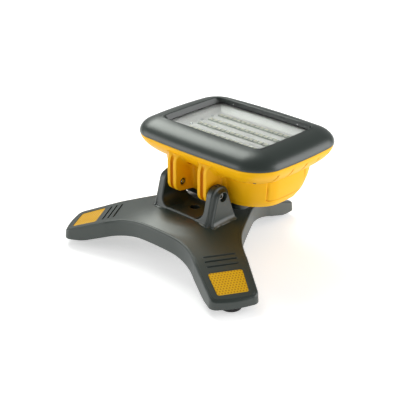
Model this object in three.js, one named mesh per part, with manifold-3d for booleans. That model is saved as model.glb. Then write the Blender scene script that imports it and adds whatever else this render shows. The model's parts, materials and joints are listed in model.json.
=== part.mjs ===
// Folding LED work and warning light: a yellow lamp head hinged on a three-legged dark base.
// Millimetres, +Z up. The head lies folded over the rear leg, with its window facing up.
import * as THREE from "three";
import { mergeVertices } from "three/addons/utils/BufferGeometryUtils.js";
import Module from "manifold-3d";

const wasm = await Module();
wasm.setup();

// ---- Driving dimensions -------------------------------------------------------------------

const gap = 0.3; // between pieces that touch
const wall = 3; // the base's moulded shell
const skin = 2.5; // the head's housing

// Base, measured from the hub's axis and the ground.
const legs = {
  angles: [90, 210, 330],
  reach: 168,
  tipBow: 2,
  tipHalf: 29.5,
  rootHalf: 32,
  rootAt: 90,
  tipZ: 20, // the crown's height at the tip
};
const corner = { tip: 9, tipBow: 150, waist: 95 };
const waist = 69.5; // hub axis to the edge between two legs
const crown = {
  flat: 22,
  flatZ: 60.5,
  shoulder: 28,
  shoulderZ: 58,
  knee: 104,
  kneeZ: 43.2,
  end: legs.reach + 8,
};
const skirt = { // where the shell's lower edge runs
  hub: 70,
  hubZ: 32,
  kneeAt: crown.knee + 3,
  kneeZ: 21,
  legAt: legs.reach - 22,
  legZ: 7,
  tipZ: 6.5,
};
const foot = { at: legs.reach - 17, radius: 13, rim: 1.2, height: 7.6, stem: 3.8, stemHigh: 9, boss: 8 };
const reflector = { from: 41.4, to: 8.5, halfIn: 21.3, halfOut: 18.9, corner: 3, thick: 1.1, sunk: 0.5 };
const groove = { fromTip: [65.2, 57.8, 50.3], half: 19.5, width: 1.7, depth: 1 };
const bush = { outer: 7.7, bore: 4.2, from: 33.6, to: 53.6, boss: 12.5, eye: 6 };

// Yoke and hinge, in the base's frame.
const hinge = { y: -2.3, z: 90.6 };
const ear = {
  inner: 35.5,
  thick: 15.2,
  crown: 16,
  front: -25.5,
  back: 22,
  footZ: 60,
  fillet: 13,
  flare: 10,
  root: 8,
};
const earNotch = { angles: [62, 80, 98], half: 8.9, width: 2, depth: 1.5 };
const bolt = {
  shank: 2.5,
  bore: 2.8,
  head: 4.25,
  headLong: 5,
  hex: 2.3,
  hexDeep: 2.6,
  pocket: 6.25,
  sunk: 9,
  endIn: 0.8,
};
const nut = { across: 8, long: 4.2, pocket: 5.3, pocketDeep: 5.6 };
const washer = { outer: 11, inner: 2.9, thick: 1.3 };

// Head, in the hinge's frame: y runs from the hinge to the far end, z is the way the lamp looks.
const head = { half: 116, near: -10, far: 165.5, radius: 34, bow: 5.2, joinZ: 46 };
const bezel = {
  high: 18.6,
  side: 37, // from the head's outline to the opening, along the sides
  near: 38, // the same at the near end
  far: 30.5, // and at the far end
  brow: 2.2, // from the opening to where the rolled face ends
  lip: 1.2,
  draft: 0.6,
  seat: 6.4, // how deep the ledge for the window lies
  seatSkirt: 5.6,
  skirtWall: 2.2,
  wall: 2.8,
  roll: 33,
  boss: 4.4,
};
const flange = {
  half: head.half - 20,
  near: head.near + 22.5,
  far: head.far - 16,
  radius: 28,
  z: head.joinZ - 26,
};
const box = {
  half: flange.half - 1.5,
  near: flange.near + 3.5,
  far: flange.far - 2.5,
  radius: 34,
  bottomZ: -20,
};
const pane = { // the window's opening
  half: head.half - bezel.side,
  near: head.near + bezel.near,
  far: head.far - bezel.far,
  radius: 6,
  bow: 1,
};
const lug = { inner: 18.3, front: -13, radius: 12, rib: 5.2, ribDeep: 3, backY: box.near + 11, top: 6 };
const fixing = { side: 13.8, end: 8.8, mid: 13, midEnd: 1.4, headZ: flange.z + 5, long: 28, midPostZ: 8 };
const screw = { shank: 1.5, bore: 1.7, head: 3, headLong: 2.6, pocket: 3.5, post: 5.4 };

// Light engine: rows of small lamps on a board, behind a clear window.
const lens = { thick: 2, overlap: 4.2 };
const gasket = { thick: 0.9, width: 3.4 };
const tray = { thick: 1.5, deep: 5.8, floorIn: 13.5, rim: 0.5, slotIn: 5.5, slotWide: 8.4 };
const lamps = { rows: 4, perRow: 15, endIn: 5, stripWide: 6.4, stripHigh: 1, chip: 4.6, chipHigh: 1.1 };
const board = { in: 11, thick: 1.6 };
const sink = { plate: 3, fins: 9, finThick: 2, finDeep: 14, finIn: 10, finSide: 4 };
const trayScrew = { out: 2.9, shank: 1.1, bore: 1.4, head: 2.1, headLong: 1.2, long: 6 };
const pillar = { in: 22.5, radius: 5 };

// Power.
const cell = { radius: 9.2, long: 65, count: 4, pitch: 19.4 };
const cover = {
  half: 44,
  halfLong: 41,
  thick: 2,
  radius: 6,
  screwIn: 5,
  rim: 7,
  pad: 4,
  padThick: 2.6,
  screwSunk: 1,
  screwEnd: 0.8,
};
const holder = { wall: 1.6, floor: 2, wallHigh: 11, post: 4, postHigh: 24.4, postIn: 12 };
const driver = { thick: 1.6, in: 6, coil: 6.5, coilHigh: 4.5, tallPart: 4, chipHigh: 2 };
const toggle = { half: 8, wall: 3, above: 8, body: 5, plunger: 3 };
const button = {
  z: 4,
  radius: 8,
  clearance: 0.35,
  pad: 12.5,
  padOut: 1,
  proud: 2.6,
  flange: 9.6,
  flangeThick: 2,
  travel: 1.5,
};
const jack = {
  z: 2,
  padOut: 1,
  padHalf: 12,
  padLow: -10,
  padHigh: 17.4,
  radius: 5.5,
  rim: 2,
  rimThick: 1.8,
  long: 14,
  bore: 3.3,
  deep: 11,
};
const flap = { half: 8.8, thick: 2.3, low: -8, knuckle: 2.2, hingeZ: 14, pin: 0.8, lugWide: 3.6 };

// ---- Places worked out from them --------------------------------------------------------------

const legFall = (crown.kneeZ - legs.tipZ) / (legs.reach - crown.knee); // slope of the legs beyond the knee
const earOuter = ear.inner + ear.thick;
const lugOuter = ear.inner - 2 * gap - washer.thick;
const topZ = head.joinZ + bezel.high;
const seatZ = topZ - bezel.seat; // the ledge that the window's seal meets
const gasketTop = seatZ - gap;
const lensTop = gasketTop - gasket.thick - gap;
const trayTop = lensTop - lens.thick - gap;
const trayFloor = trayTop - tray.deep;
const boardTop = trayFloor - tray.thick - gap;
const sinkTop = boardTop - board.thick - gap;
const sinkLow = sinkTop - sink.plate;
const housingTop = head.joinZ - gap / 2;
const bezelLow = head.joinZ + gap / 2;
const coverFloor = box.bottomZ + cover.thick + gap;
const padTop = coverFloor + cover.padThick;
const bayMiddle = (box.near + box.far) / 2;
const coverNear = bayMiddle - cover.halfLong;
const coverFar = bayMiddle + cover.halfLong;
const holderFloor = padTop + gap;
const cellZ = holderFloor + holder.floor + gap + cell.radius;
const buttonPadY = box.far + button.padOut;
const jackPadX = box.half + jack.padOut;
const jackY = bayMiddle;
const flapAxisX = -jackPadX - flap.knuckle - gap;

// ---- Materials ------------------------------------------------------------------------------

const finish = (color, roughness, metalness = 0) => ({ color, roughness, metalness });
const finishes = {
  slate: finish(0x3f4648, 0.42),
  yellow: finish(0xf0b41e, 0.38),
  rubber: finish(0x17181a, 0.85),
  reflex: finish(0xe9a81f, 0.3),
  clear: finish(0xe8efec, 0.08),
  white: finish(0xe6e8e4, 0.4),
  lamp: finish(0xf4efb4, 0.25),
  laminate: finish(0xd9dcd6, 0.5),
  green: finish(0x2c6b45, 0.5),
  steel: finish(0x9a9da0, 0.32, 1),
  brass: finish(0xb9923f, 0.35, 1),
  aluminium: finish(0xb4b8ba, 0.4, 1),
  black: finish(0x202224, 0.5),
  cellBlue: finish(0x2f6fa8, 0.35),
};

// ---- Solids: three.js geometry, joined and cut by manifold-3d -------------------------------

function asSolid(shape) {
  if (!shape.isBufferGeometry) return shape;
  const loose = shape.index ? shape.toNonIndexed() : shape.clone();
  const bare = new THREE.BufferGeometry().setAttribute("position", loose.getAttribute("position"));
  const merged = mergeVertices(bare, 1e-4);
  const corners = merged.index.array;
  const kept = [];
  for (let i = 0; i < corners.length; i += 3) {
    const [a, b, c] = corners.slice(i, i + 3);
    if (a !== b && b !== c && c !== a) kept.push(a, b, c);
  }
  const build = (triVerts) =>
    new wasm.Manifold(
      new wasm.Mesh({ numProp: 3, vertProperties: merged.attributes.position.array, triVerts }),
    );
  const made = build(new Uint32Array(kept));
  return made.volume() < 0 ? build(new Uint32Array(kept.reverse())) : made;
}

const join = (...shapes) => shapes.map(asSolid).reduce((a, b) => a.add(b));
const cut = (body, ...tools) => tools.map(asSolid).reduce((a, b) => a.subtract(b), asSolid(body));
const common = (...shapes) => shapes.map(asSolid).reduce((a, b) => a.intersect(b));

function asGeometry(shape) {
  const mesh = asSolid(shape).getMesh();
  const stride = mesh.numProp;
  const positions = new Float32Array(mesh.numVert * 3);
  for (let i = 0; i < mesh.numVert; i++)
    positions.set(mesh.vertProperties.subarray(i * stride, i * stride + 3), i * 3);
  const indexed = new THREE.BufferGeometry()
    .setAttribute("position", new THREE.BufferAttribute(positions, 3))
    .setIndex(new THREE.BufferAttribute(mesh.triVerts, 1));
  const flat = indexed.toNonIndexed();
  flat.computeVertexNormals();
  return flat;
}

const point = (x, y) => new THREE.Vector2(x, y);
const range = (count) => [...Array(count).keys()];
const mix = THREE.MathUtils.lerp;
const radians = THREE.MathUtils.degToRad;

// A box from its low and high corners.
function block(low, high) {
  const size = high.map((v, i) => v - low[i]);
  return new THREE.BoxGeometry(...size).translate(...low.map((v, i) => v + size[i] / 2));
}

// A cylinder along one axis ("x", "y" or "z"), from one value of it to another.
function rod(axis, radius, from, to, [a, b], sides = 24) {
  const made = new THREE.CylinderGeometry(radius, radius, to - from, sides);
  const middle = (from + to) / 2;
  if (axis === "x") return made.rotateZ(Math.PI / 2).translate(middle, a, b);
  if (axis === "y") return made.translate(a, middle, b);
  return made.rotateX(Math.PI / 2).translate(a, b, middle);
}

// Two ends of a stretch on one side of the middle, in rising order.
const onSide = (side, from, to) => [side * from, side * to].sort((a, b) => a - b);

// A shape turned round the Z axis; its points are (radius, height).
function turned(profile, sides = 24) {
  return new THREE.LatheGeometry(profile, sides).rotateX(Math.PI / 2);
}

// An outline in x and y pushed up from one height to another.
function prism(outline, from, to) {
  const shape = outline.isShape ? outline : new THREE.Shape(outline);
  return new THREE.ExtrudeGeometry(shape, { depth: to - from, bevelEnabled: false }).translate(0, 0, from);
}

// An outline in y and z pushed along x.
function prismX(outline, from, to) {
  return prism(outline, from, to).rotateX(Math.PI / 2).rotateZ(Math.PI / 2);
}

// A polygon whose corners, given as [x, y, radius], are rounded by arcs of about 9 degrees a step.
function rounded(corners, step = 9) {
  const points = [];
  corners.forEach(([x, y, radius], i) => {
    const here = point(x, y);
    const before = corners.at(i - 1);
    const after = corners[(i + 1) % corners.length];
    const back = point(before[0] - x, before[1] - y).normalize();
    const ahead = point(after[0] - x, after[1] - y).normalize();
    const turn = Math.PI - Math.acos(THREE.MathUtils.clamp(back.dot(ahead), -1, 1));
    if (!radius || turn < 1e-6) {
      points.push(here);
      return;
    }
    const reach = radius * Math.tan(turn / 2);
    const middle = back.clone().add(ahead).normalize().multiplyScalar(radius / Math.cos(turn / 2)).add(here);
    const start = here.clone().addScaledVector(back, reach).sub(middle);
    const way = Math.sign(back.cross(ahead)) * -1;
    const steps = Math.max(2, Math.round(THREE.MathUtils.radToDeg(turn) / step));
    for (const k of range(steps + 1))
      points.push(start.clone().rotateAround(point(0, 0), (way * turn * k) / steps).add(middle));
  });
  return points;
}

// The head's outline: a rounded rectangle from near to far, its sides bowed out in the middle.
function headOutline({ half, near, far, radius }, bow = head.bow, inset = 0) {
  const flatHalf = half - inset - bow;
  const flatLong = (far - near) / 2 - inset - bow;
  const middle = (near + far) / 2;
  const r = Math.max(radius - inset, 2);
  const points = [];
  const sides = 2;
  const arcs = 6;
  for (const [sx, sy, start] of [[1, 1, 0], [-1, 1, 90], [-1, -1, 180], [1, -1, 270]]) {
    const arc = range(arcs + 1).map((k) => {
      const angle = radians(start + (90 * k) / arcs);
      return point(sx * (flatHalf - r) + r * Math.cos(angle), sy * (flatLong - r) + r * Math.sin(angle));
    });
    points.push(...arc);
    const last = arc.at(-1);
    const next = sx === sy ? point(-last.x, last.y) : point(last.x, -last.y);
    for (const k of range(sides - 1)) points.push(last.clone().lerp(next, (k + 1) / sides));
  }
  return points.map(({ x, y }) =>
    point(x * (1 + (bow / flatHalf) * (1 - (y / flatLong) ** 2)),
      middle + y * (1 + (bow / flatLong) * (1 - (x / flatHalf) ** 2))));
}

// A body through rings of equally many points at given heights: solid, or closed on itself as a frame.
function loft(rings, closed = false) {
  const count = rings[0].points.length;
  const corners = rings.flatMap(({ points, z }) => points.map(({ x, y }) => [x, y, z]));
  const faces = [];
  for (const i of range(closed ? rings.length : rings.length - 1))
    for (const k of range(count)) {
      const a = i * count + k;
      const b = i * count + ((k + 1) % count);
      const c = ((i + 1) % rings.length) * count + k;
      const d = ((i + 1) % rings.length) * count + ((k + 1) % count);
      faces.push(a, b, d, a, d, c);
    }
  if (!closed) {
    const top = (rings.length - 1) * count;
    for (const [i, j, k] of THREE.ShapeUtils.triangulateShape(rings[0].points, [])) faces.push(k, j, i);
    for (const [i, j, k] of THREE.ShapeUtils.triangulateShape(rings.at(-1).points, []))
      faces.push(top + i, top + j, top + k);
  }
  return new THREE.BufferGeometry()
    .setAttribute("position", new THREE.Float32BufferAttribute(corners.flat(), 3))
    .setIndex(faces);
}

const ring = (size, z, inset = 0, bow = head.bow) => ({ points: headOutline(size, bow, inset), z });

const root = new THREE.Group();
const baseGroup = new THREE.Group();
const headGroup = new THREE.Group();
headGroup.position.set(0, hinge.y, hinge.z);
root.add(baseGroup, headGroup);

function piece(name, shape, look, group = headGroup) {
  const mesh = new THREE.Mesh(asGeometry(shape), new THREE.MeshStandardMaterial(finishes[look]));
  mesh.name = name;
  group.add(mesh);
  return mesh;
}

// ---- Base -----------------------------------------------------------------------------------

// The star outline of the base, drawn in by an inset: straight waists, filleted into straight legs.
function starOutline(inset) {
  const slope = (legs.rootHalf - legs.tipHalf) / (legs.reach - legs.rootAt);
  const axisHalf = legs.rootHalf + slope * legs.rootAt - inset; // half width, drawn back to the hub's axis
  const d = waist - inset;
  // Where a leg's edge (half = axisHalf - slope r) meets the waist line (r cos 60 + half sin 60 = d).
  const [c, s] = [Math.cos(radians(60)), Math.sin(radians(60))];
  const rootR = (d - axisHalf * s) / (c - slope * s);
  const reach = legs.reach - inset;
  const corners = [];
  for (const angle of legs.angles) {
    const place = (r, s, radius) => {
      const p = point(r, s).rotateAround(point(0, 0), radians(angle));
      corners.push([p.x, p.y, radius]);
    };
    const half = (r) => axisHalf - slope * r;
    place(rootR, -half(rootR), corner.waist + inset);
    place(reach, -half(reach), corner.tip - inset);
    place(reach + legs.tipBow, 0, corner.tipBow);
    place(reach, half(reach), corner.tip - inset);
    place(rootR, half(rootR), corner.waist + inset);
  }
  return rounded(corners, 12);
}

// The crown's height at a distance from the hub's axis, beyond its shoulder.
function crownZ(r) {
  if (r > crown.knee) return crown.kneeZ - legFall * (r - crown.knee);
  return mix(crown.kneeZ, crown.shoulderZ, (crown.knee - r) / (crown.knee - crown.shoulder));
}

// The crown's profile: a flat hub, a shallow cone to the knee and a steeper one along the legs.
function crownProfile(drop) {
  return [
    point(0, crown.flatZ - drop),
    point(crown.flat, crown.flatZ - drop),
    point(crown.shoulder, crown.shoulderZ - drop),
    point(crown.knee, crown.kneeZ - drop),
    point(crown.end, crownZ(crown.end) - drop),
  ];
}

function legBody() {
  const skirtProfile = [
    point(crown.end, skirt.tipZ),
    point(skirt.legAt, skirt.legZ),
    point(skirt.kneeAt, skirt.kneeZ),
    point(skirt.hub, skirt.hubZ),
    point(0, skirt.hubZ),
  ];
  const sides = 36;
  const crownSolid = turned([...crownProfile(0), ...skirtProfile], sides);
  const hollow = turned([...crownProfile(wall), point(crown.end, -1), point(0, -1)], sides);
  const outside = common(crownSolid, prism(starOutline(0), 0, crown.flatZ + 1));
  const inside = common(hollow, prism(starOutline(wall), -1, crown.flatZ));
  return { crownSolid, outside, inside };
}

// One yoke ear on the +X side: its side view cut by its front view, which flares into the crown.
function yokeEar() {
  const rootZ = ear.footZ - ear.root;
  // The angle at which a flank rising from its foot touches the crown's circle.
  const tangent = (y) => {
    const across = y - hinge.y;
    const down = ear.footZ - hinge.z;
    const lean = Math.acos(ear.crown / Math.hypot(across, down));
    return Math.atan2(down, across) + (across > 0 ? lean : -lean);
  };
  const from = tangent(ear.back);
  const to = tangent(ear.front) + 2 * Math.PI;
  const steps = 10;
  const over = range(steps + 1).map((k) => {
    const angle = mix(from, to, k / steps);
    return point(hinge.y + ear.crown * Math.cos(angle), hinge.z + ear.crown * Math.sin(angle));
  });
  const sideView = [
    point(ear.front, rootZ),
    point(ear.back, rootZ),
    point(ear.back, ear.footZ),
    ...over,
    point(ear.front, ear.footZ),
  ];
  const topZ = hinge.z + ear.crown + 1;
  const floorZ = crown.flatZ - 1;
  const inmost = ear.inner - ear.fillet - 4;
  const frontView = rounded([
    [ear.inner, topZ, 0],
    [ear.inner, floorZ, ear.fillet],
    [inmost, floorZ, 0],
    [inmost, rootZ, 0],
    [earOuter + ear.flare, rootZ, 0],
    [earOuter + 1, ear.footZ + 3, ear.fillet - 1],
    [earOuter, topZ, 0],
  ]);
  const across = prism(frontView, 0, ear.back - ear.front).rotateX(Math.PI / 2).translate(0, ear.back, 0);
  return common(prismX(sideView, 0, earOuter + ear.flare + 1), across);
}

const mirrorX = (shape) => asGeometry(shape).applyMatrix4(new THREE.Matrix4().makeScale(-1, 1, 1));

function earNotches(side) {
  const { angles, half, width, depth } = earNotch;
  return angles.map((angle) =>
    block([-half, -width / 2, -depth], [half, width / 2, depth])
      .translate(0, 0, ear.crown)
      .rotateX(radians(angle - 90))
      .translate(side * ear.inner, hinge.y, hinge.z));
}

// A shape drawn in a leg's own frame (x out along the leg) turned to the leg's angle.
const onLeg = (shape, angle) => shape.clone().rotateZ(radians(angle));

// The reflector's place: a slab that lies along the leg's slope, its top a given depth under the crown.
function reflectorSlab(grow, top, thick) {
  const middle = legs.reach - (reflector.from + reflector.to) / 2;
  const tilt = Math.atan(legFall);
  const halfLong = (reflector.from - reflector.to) / 2 / Math.cos(tilt) + grow;
  const outline = rounded([
    [-halfLong, -reflector.halfIn - grow, reflector.corner],
    [halfLong, -reflector.halfOut - grow, reflector.corner],
    [halfLong, reflector.halfOut + grow, reflector.corner],
    [-halfLong, reflector.halfIn + grow, reflector.corner],
  ], 45);
  return prism(outline, -top - thick, -top).rotateY(tilt).translate(middle, 0, crownZ(middle));
}

function legGrooves() {
  const above = 3;
  return groove.fromTip.map((inward) => {
    const r = legs.reach - inward;
    return block([r - groove.width / 2, -groove.half, crownZ(r) - groove.depth],
      [r + groove.width / 2, groove.half, crownZ(r) + above]);
  });
}

function baseShell() {
  const { crownSolid, outside, inside } = legBody();
  const earRight = yokeEar();
  const bosses = [rod("z", bush.boss, bush.from, crown.flatZ - 1, [0, 0])];
  for (const angle of legs.angles)
    bosses.push(onLeg(rod("z", foot.boss, foot.height + gap, crown.flatZ, [foot.at, 0], 16), angle));
  const bossesUnder = common(join(...bosses), crownSolid);
  const shell = cut(join(outside, earRight, mirrorX(earRight)), inside);
  const cuts = [
    rod("z", bush.outer + gap, bush.from - 1, bush.to + gap, [0, 0]),
    rod("z", bush.eye, bush.to, crown.flatZ + 1, [0, 0]),
  ];
  for (const angle of legs.angles) {
    const hole = rod("z", foot.stem + gap, 0, foot.height + foot.stemHigh + 1, [foot.at, 0], 16);
    const recess = reflectorSlab(gap, -2, 2 + reflector.sunk + reflector.thick + gap);
    for (const tool of [hole, recess, ...legGrooves()]) cuts.push(onLeg(tool, angle));
  }
  const reach = earOuter + 1;
  cuts.push(rod("x", bolt.bore, -reach, reach, [hinge.y, hinge.z], 16));
  for (const side of [-1, 1]) {
    cuts.push(rod("x", bolt.pocket, ...onSide(side, earOuter - bolt.sunk, reach), [hinge.y, hinge.z]));
    cuts.push(...earNotches(side));
  }
  return cut(join(shell, bossesUnder), ...cuts);
}

piece("base_shell", baseShell(), "slate", baseGroup);

legs.angles.forEach((angle, i) => {
  const panel = reflectorSlab(0, reflector.sunk, reflector.thick);
  piece(`reflector_panel_${i + 1}`, onLeg(panel, angle), "reflex", baseGroup);
  const rubber = turned([
    point(0, 0),
    point(foot.radius - foot.rim, 0),
    point(foot.radius, foot.rim),
    point(foot.radius, foot.height),
    point(foot.stem, foot.height),
    point(foot.stem, foot.height + foot.stemHigh),
    point(0, foot.height + foot.stemHigh),
  ]).translate(foot.at, 0, 0);
  piece(`rubber_foot_${i + 1}`, onLeg(rubber, angle), "rubber", baseGroup);
});

piece("thread_bush", turned([
  point(bush.bore, bush.from),
  point(bush.outer, bush.from),
  point(bush.outer, bush.to),
  point(bush.bore, bush.to),
  point(bush.bore, bush.from),
]), "brass", baseGroup);

// ---- Hinge hardware -------------------------------------------------------------------------

for (const [name, side] of [["left", -1], ["right", 1]]) {
  const seat = earOuter - bolt.sunk + gap;
  const span = (from, to) => onSide(side, from, to);
  const onAxis = [hinge.y, hinge.z];
  const hexAt = (radius, from, to) => rod("x", radius, ...span(from, to), onAxis, 6);
  const shankEnd = lug.inner + bolt.endIn;
  const body = cut(
    join(
      rod("x", bolt.shank, ...span(shankEnd, seat + 1), onAxis, 16),
      rod("x", bolt.head, ...span(seat, seat + bolt.headLong), onAxis),
    ),
    hexAt(bolt.hex, seat + bolt.headLong - bolt.hexDeep, seat + bolt.headLong + 1),
  );
  piece(`pivot_bolt_${name}`, body, "steel", baseGroup);
  const nutFrom = lug.inner + nut.pocketDeep - gap - nut.long;
  const nutBody = cut(
    hexAt(nut.across / 2 / Math.cos(Math.PI / 6), nutFrom, nutFrom + nut.long),
    rod("x", bolt.bore, ...span(nutFrom - 1, nutFrom + nut.long + 1), onAxis, 16),
  );
  piece(`pivot_nut_${name}`, nutBody, "steel", baseGroup);
  const disc = cut(
    rod("x", washer.outer, ...span(lugOuter + gap, ear.inner - gap), onAxis),
    rod("x", washer.inner, ...span(lugOuter, ear.inner), onAxis, 16),
  );
  piece(`friction_washer_${name}`, disc, "black", baseGroup);
}

// ---- Head: rear housing ---------------------------------------------------------------------

// The box below the flange, from its floor up: how far its sides and ends stand in from its top edge.
const boxLevels = [
  { z: box.bottomZ, side: 11, near: 10.5, far: 19.5, radius: box.radius - 3 },
  { z: box.bottomZ + skin, side: 8.2, near: 7.5, far: 16, radius: box.radius },
  { z: box.bottomZ / 2, side: 5, near: 5, far: 9, radius: box.radius },
  { z: flange.z / 4, side: 1.5, near: 2, far: 3.5, radius: box.radius },
  { z: flange.z, side: 0, near: 0, far: 0, radius: box.radius },
];

const boxRing = ({ z, side, near, far, radius }, inset = 0) =>
  ring({ half: box.half - side, near: box.near + near, far: box.far - far, radius }, z, inset);

// Where the box's far wall stands at a height between its floor and the flange.
function farWall(z) {
  const above = boxLevels.findIndex((level) => level.z >= z);
  const [low, high] = [boxLevels[above - 1], boxLevels[above]];
  return box.far - mix(low.far, high.far, (z - low.z) / (high.z - low.z));
}

function housingOutside() {
  const belly = 0.6; // the flange's slope swells a little
  const middle = {
    half: (flange.half + head.half) / 2 + belly,
    near: (flange.near + head.near) / 2 - belly,
    far: (flange.far + head.far) / 2 + belly,
    radius: (flange.radius + head.radius) / 2,
  };
  return loft([
    ...boxLevels.map((level) => boxRing(level)),
    ring(flange, flange.z),
    ring(middle, (flange.z + head.joinZ) / 2),
    ring(head, housingTop, 0.4),
  ]);
}

function housingInside() {
  const levels = boxLevels.slice(1).map((level) => ({ ...level }));
  levels.at(-1).z = flange.z + skin;
  return loft([
    ...levels.map((level) => boxRing(level, skin)),
    ring(flange, flange.z + skin + 0.01, skin),
    ring(head, head.joinZ + 1, skin + 0.5),
  ]);
}

// The screws that hold the bezel: four at the corners, and a pair at the middle of each long side.
const screwPlaces = [-1, 1].flatMap((side) => [
  [side * (flange.half - fixing.side), flange.near + fixing.end],
  [side * (flange.half - fixing.side), flange.far - fixing.end],
  [side * fixing.mid, flange.near + fixing.midEnd],
  [side * fixing.mid, flange.far - fixing.midEnd],
]);

// The four pillars that carry the heat sink.
const pillarPlaces = [-1, 1].flatMap((side) => [
  [side * (box.half - pillar.in), box.near + pillar.in],
  [side * (box.half - pillar.in), box.far - pillar.in - pillar.radius],
]);

// A hinge lug: a plate with two ribs down its front, rounded under the hinge's axis.
function hingeLug() {
  const outline = rounded([
    [lug.front, -lug.radius, lug.radius],
    [lug.backY, -lug.radius - 4, 0],
    [lug.backY, housingTop, 0],
    [lug.front, housingTop, lug.top],
  ], 22.5);
  const middle = (lug.inner + lugOuter) / 2;
  const grooveHalf = (lugOuter - lug.inner) / 2 - lug.rib;
  const channel = block([middle - grooveHalf, lug.front - 1, -lug.radius],
    [middle + grooveHalf, lug.front + lug.ribDeep, housingTop - 4]);
  return cut(prismX(outline, lug.inner, lugOuter), channel);
}

// A rectangle about the battery bay's middle, grown or drawn in, with rounded corners.
function bayOutline(grow, radius) {
  const half = cover.half + grow;
  const [near, far] = [coverNear - grow, coverFar + grow];
  const corners = [[-half, near], [half, near], [half, far], [-half, far]];
  return rounded(corners.map((corner) => [...corner, radius]), 30);
}

const coverScrewPlaces = [-1, 1].flatMap((side) => [
  [side * (cover.half - cover.screwIn), coverNear + cover.screwIn],
  [side * (cover.half - cover.screwIn), coverFar - cover.screwIn],
]);

// The two ears on the socket's pad that hold the cover's pin.
function flapLugs() {
  const near = flap.half - flap.lugWide + gap;
  return [-1, 1].map((side) => {
    const [low, high] = onSide(side, near, near + flap.lugWide);
    return block([-jackPadX - 2 * flap.knuckle - gap, jackY + low, flap.hingeZ - flap.knuckle],
      [-jackPadX + 1, jackY + high, flap.hingeZ + flap.knuckle]);
  });
}

// What is added to the housing's inside: screw posts, pillars and the battery cover's rim.
function housingInner(outside) {
  const posts = screwPlaces.map(([x, y]) => {
    const low = Math.abs(x) === fixing.mid ? fixing.midPostZ : flange.z + 0.5;
    return rod("z", screw.post, low, housingTop, [x, y], 8);
  });
  const pillarsFrom = (low) =>
    pillarPlaces.map((place) => rod("z", pillar.radius, low, sinkLow - gap, place, 8));
  const pad = prism(bayOutline(cover.pad, cover.radius), box.bottomZ + 1, padTop);
  const within = common(join(...posts, ...pillarsFrom(box.bottomZ + 1), pad), outside);
  return join(within, ...pillarsFrom(Math.min(housingTop, sinkLow) - 2));
}

function rearHousing() {
  const bare = housingOutside();
  const inside = housingInside();
  const padDeep = 20; // the pads reach back through the wall behind them
  const jackPad = block([-jackPadX, jackY - jack.padHalf, jack.padLow],
    [-jackPadX + padDeep, jackY + jack.padHalf, jack.padHigh]);
  const buttonPad = rod("y", button.pad, buttonPadY - padDeep, buttonPadY, [0, button.z], 20);
  const lugRight = hingeLug();
  const outside = join(bare, jackPad, buttonPad, ...flapLugs(), lugRight, mirrorX(lugRight));
  const cuts = [
    prism(bayOutline(0, cover.radius), box.bottomZ - 1, coverFloor),
    prism(bayOutline(-cover.rim, 3), box.bottomZ - 1, padTop + 1),
    rod("x", bolt.bore, -lugOuter - 1, lugOuter + 1, [0, 0], 16),
    rod("y", button.radius + button.clearance, buttonPadY - padDeep, buttonPadY + 1, [0, button.z], 20),
    rod("x", jack.radius + gap, -jackPadX - 1, -jackPadX + padDeep, [jackY, jack.z]),
    rod("x", jack.radius + jack.rim + gap, -jackPadX - 1, -jackPadX + jack.rimThick, [jackY, jack.z]),
    rod("y", flap.pin + gap, jackY - 2 * flap.half, jackY + 2 * flap.half, [flapAxisX, flap.hingeZ], 12),
  ];
  for (const [x, y] of screwPlaces) {
    cuts.push(rod("z", screw.bore, fixing.midPostZ + 2, housingTop + 1, [x, y], 8));
    cuts.push(rod("z", screw.pocket, -2, fixing.headZ, [x, y], 12));
  }
  for (const [x, y] of coverScrewPlaces)
    cuts.push(rod("z", screw.bore, box.bottomZ, padTop - cover.screwEnd, [x, y], 8));
  for (const side of [-1, 1])
    cuts.push(rod("x", nut.pocket, ...onSide(side, lug.inner - 1, lug.inner + nut.pocketDeep), [0, 0]));
  return cut(join(cut(outside, inside), housingInner(bare)), ...cuts);
}

piece("rear_housing", rearHousing(), "yellow");

// ---- Head: bezel, window and seal ------------------------------------------------------------

const paneRing = (z, grow) => ring(pane, z, -grow, pane.bow);
const seatGrow = lens.overlap + gap;

// A ring of the bezel's rolled face: its section is a quarter of an ellipse, drawn in by a wall.
function rolledRing(degrees, thick) {
  const angle = radians(degrees);
  const z = bezelLow + (bezel.high - gap / 2 - thick) * Math.sin(angle);
  return ring(head, z, thick + (bezel.roll - thick) * (1 - Math.cos(angle)));
}

function bezelFrame() {
  const skirtZ = seatZ - bezel.seatSkirt;
  return loft([
    ...[0, 17, 34, 50, 65, 79].map((degrees) => rolledRing(degrees, 0)),
    paneRing(topZ, bezel.brow),
    paneRing(topZ - bezel.lip, 0),
    paneRing(seatZ, -bezel.draft),
    paneRing(seatZ, seatGrow),
    paneRing(skirtZ, seatGrow),
    paneRing(skirtZ, seatGrow + bezel.skirtWall),
    paneRing(seatZ + 1, seatGrow + bezel.skirtWall + 0.2),
    ...[60, 40, 20, 0].map((degrees) => rolledRing(degrees, bezel.wall)),
  ], true);
}

function bezelBody() {
  const bosses = screwPlaces.map(([x, y]) => rod("z", bezel.boss, bezelLow, topZ - bezel.wall, [x, y], 8));
  const underSkin = loft([0, 20, 40, 60].map((degrees) => rolledRing(degrees, bezel.wall / 2)));
  const seat = prism(headOutline(pane, pane.bow, -seatGrow), bezelLow - 1, seatZ + 1);
  const kept = cut(common(join(...bosses), underSkin), seat);
  const boreTop = fixing.headZ + fixing.long + 1;
  const bores = screwPlaces.map(([x, y]) => rod("z", screw.shank + gap, bezelLow - 1, boreTop, [x, y], 8));
  return cut(join(bezelFrame(), kept), ...bores);
}

piece("bezel", bezelBody(), "slate");

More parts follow.
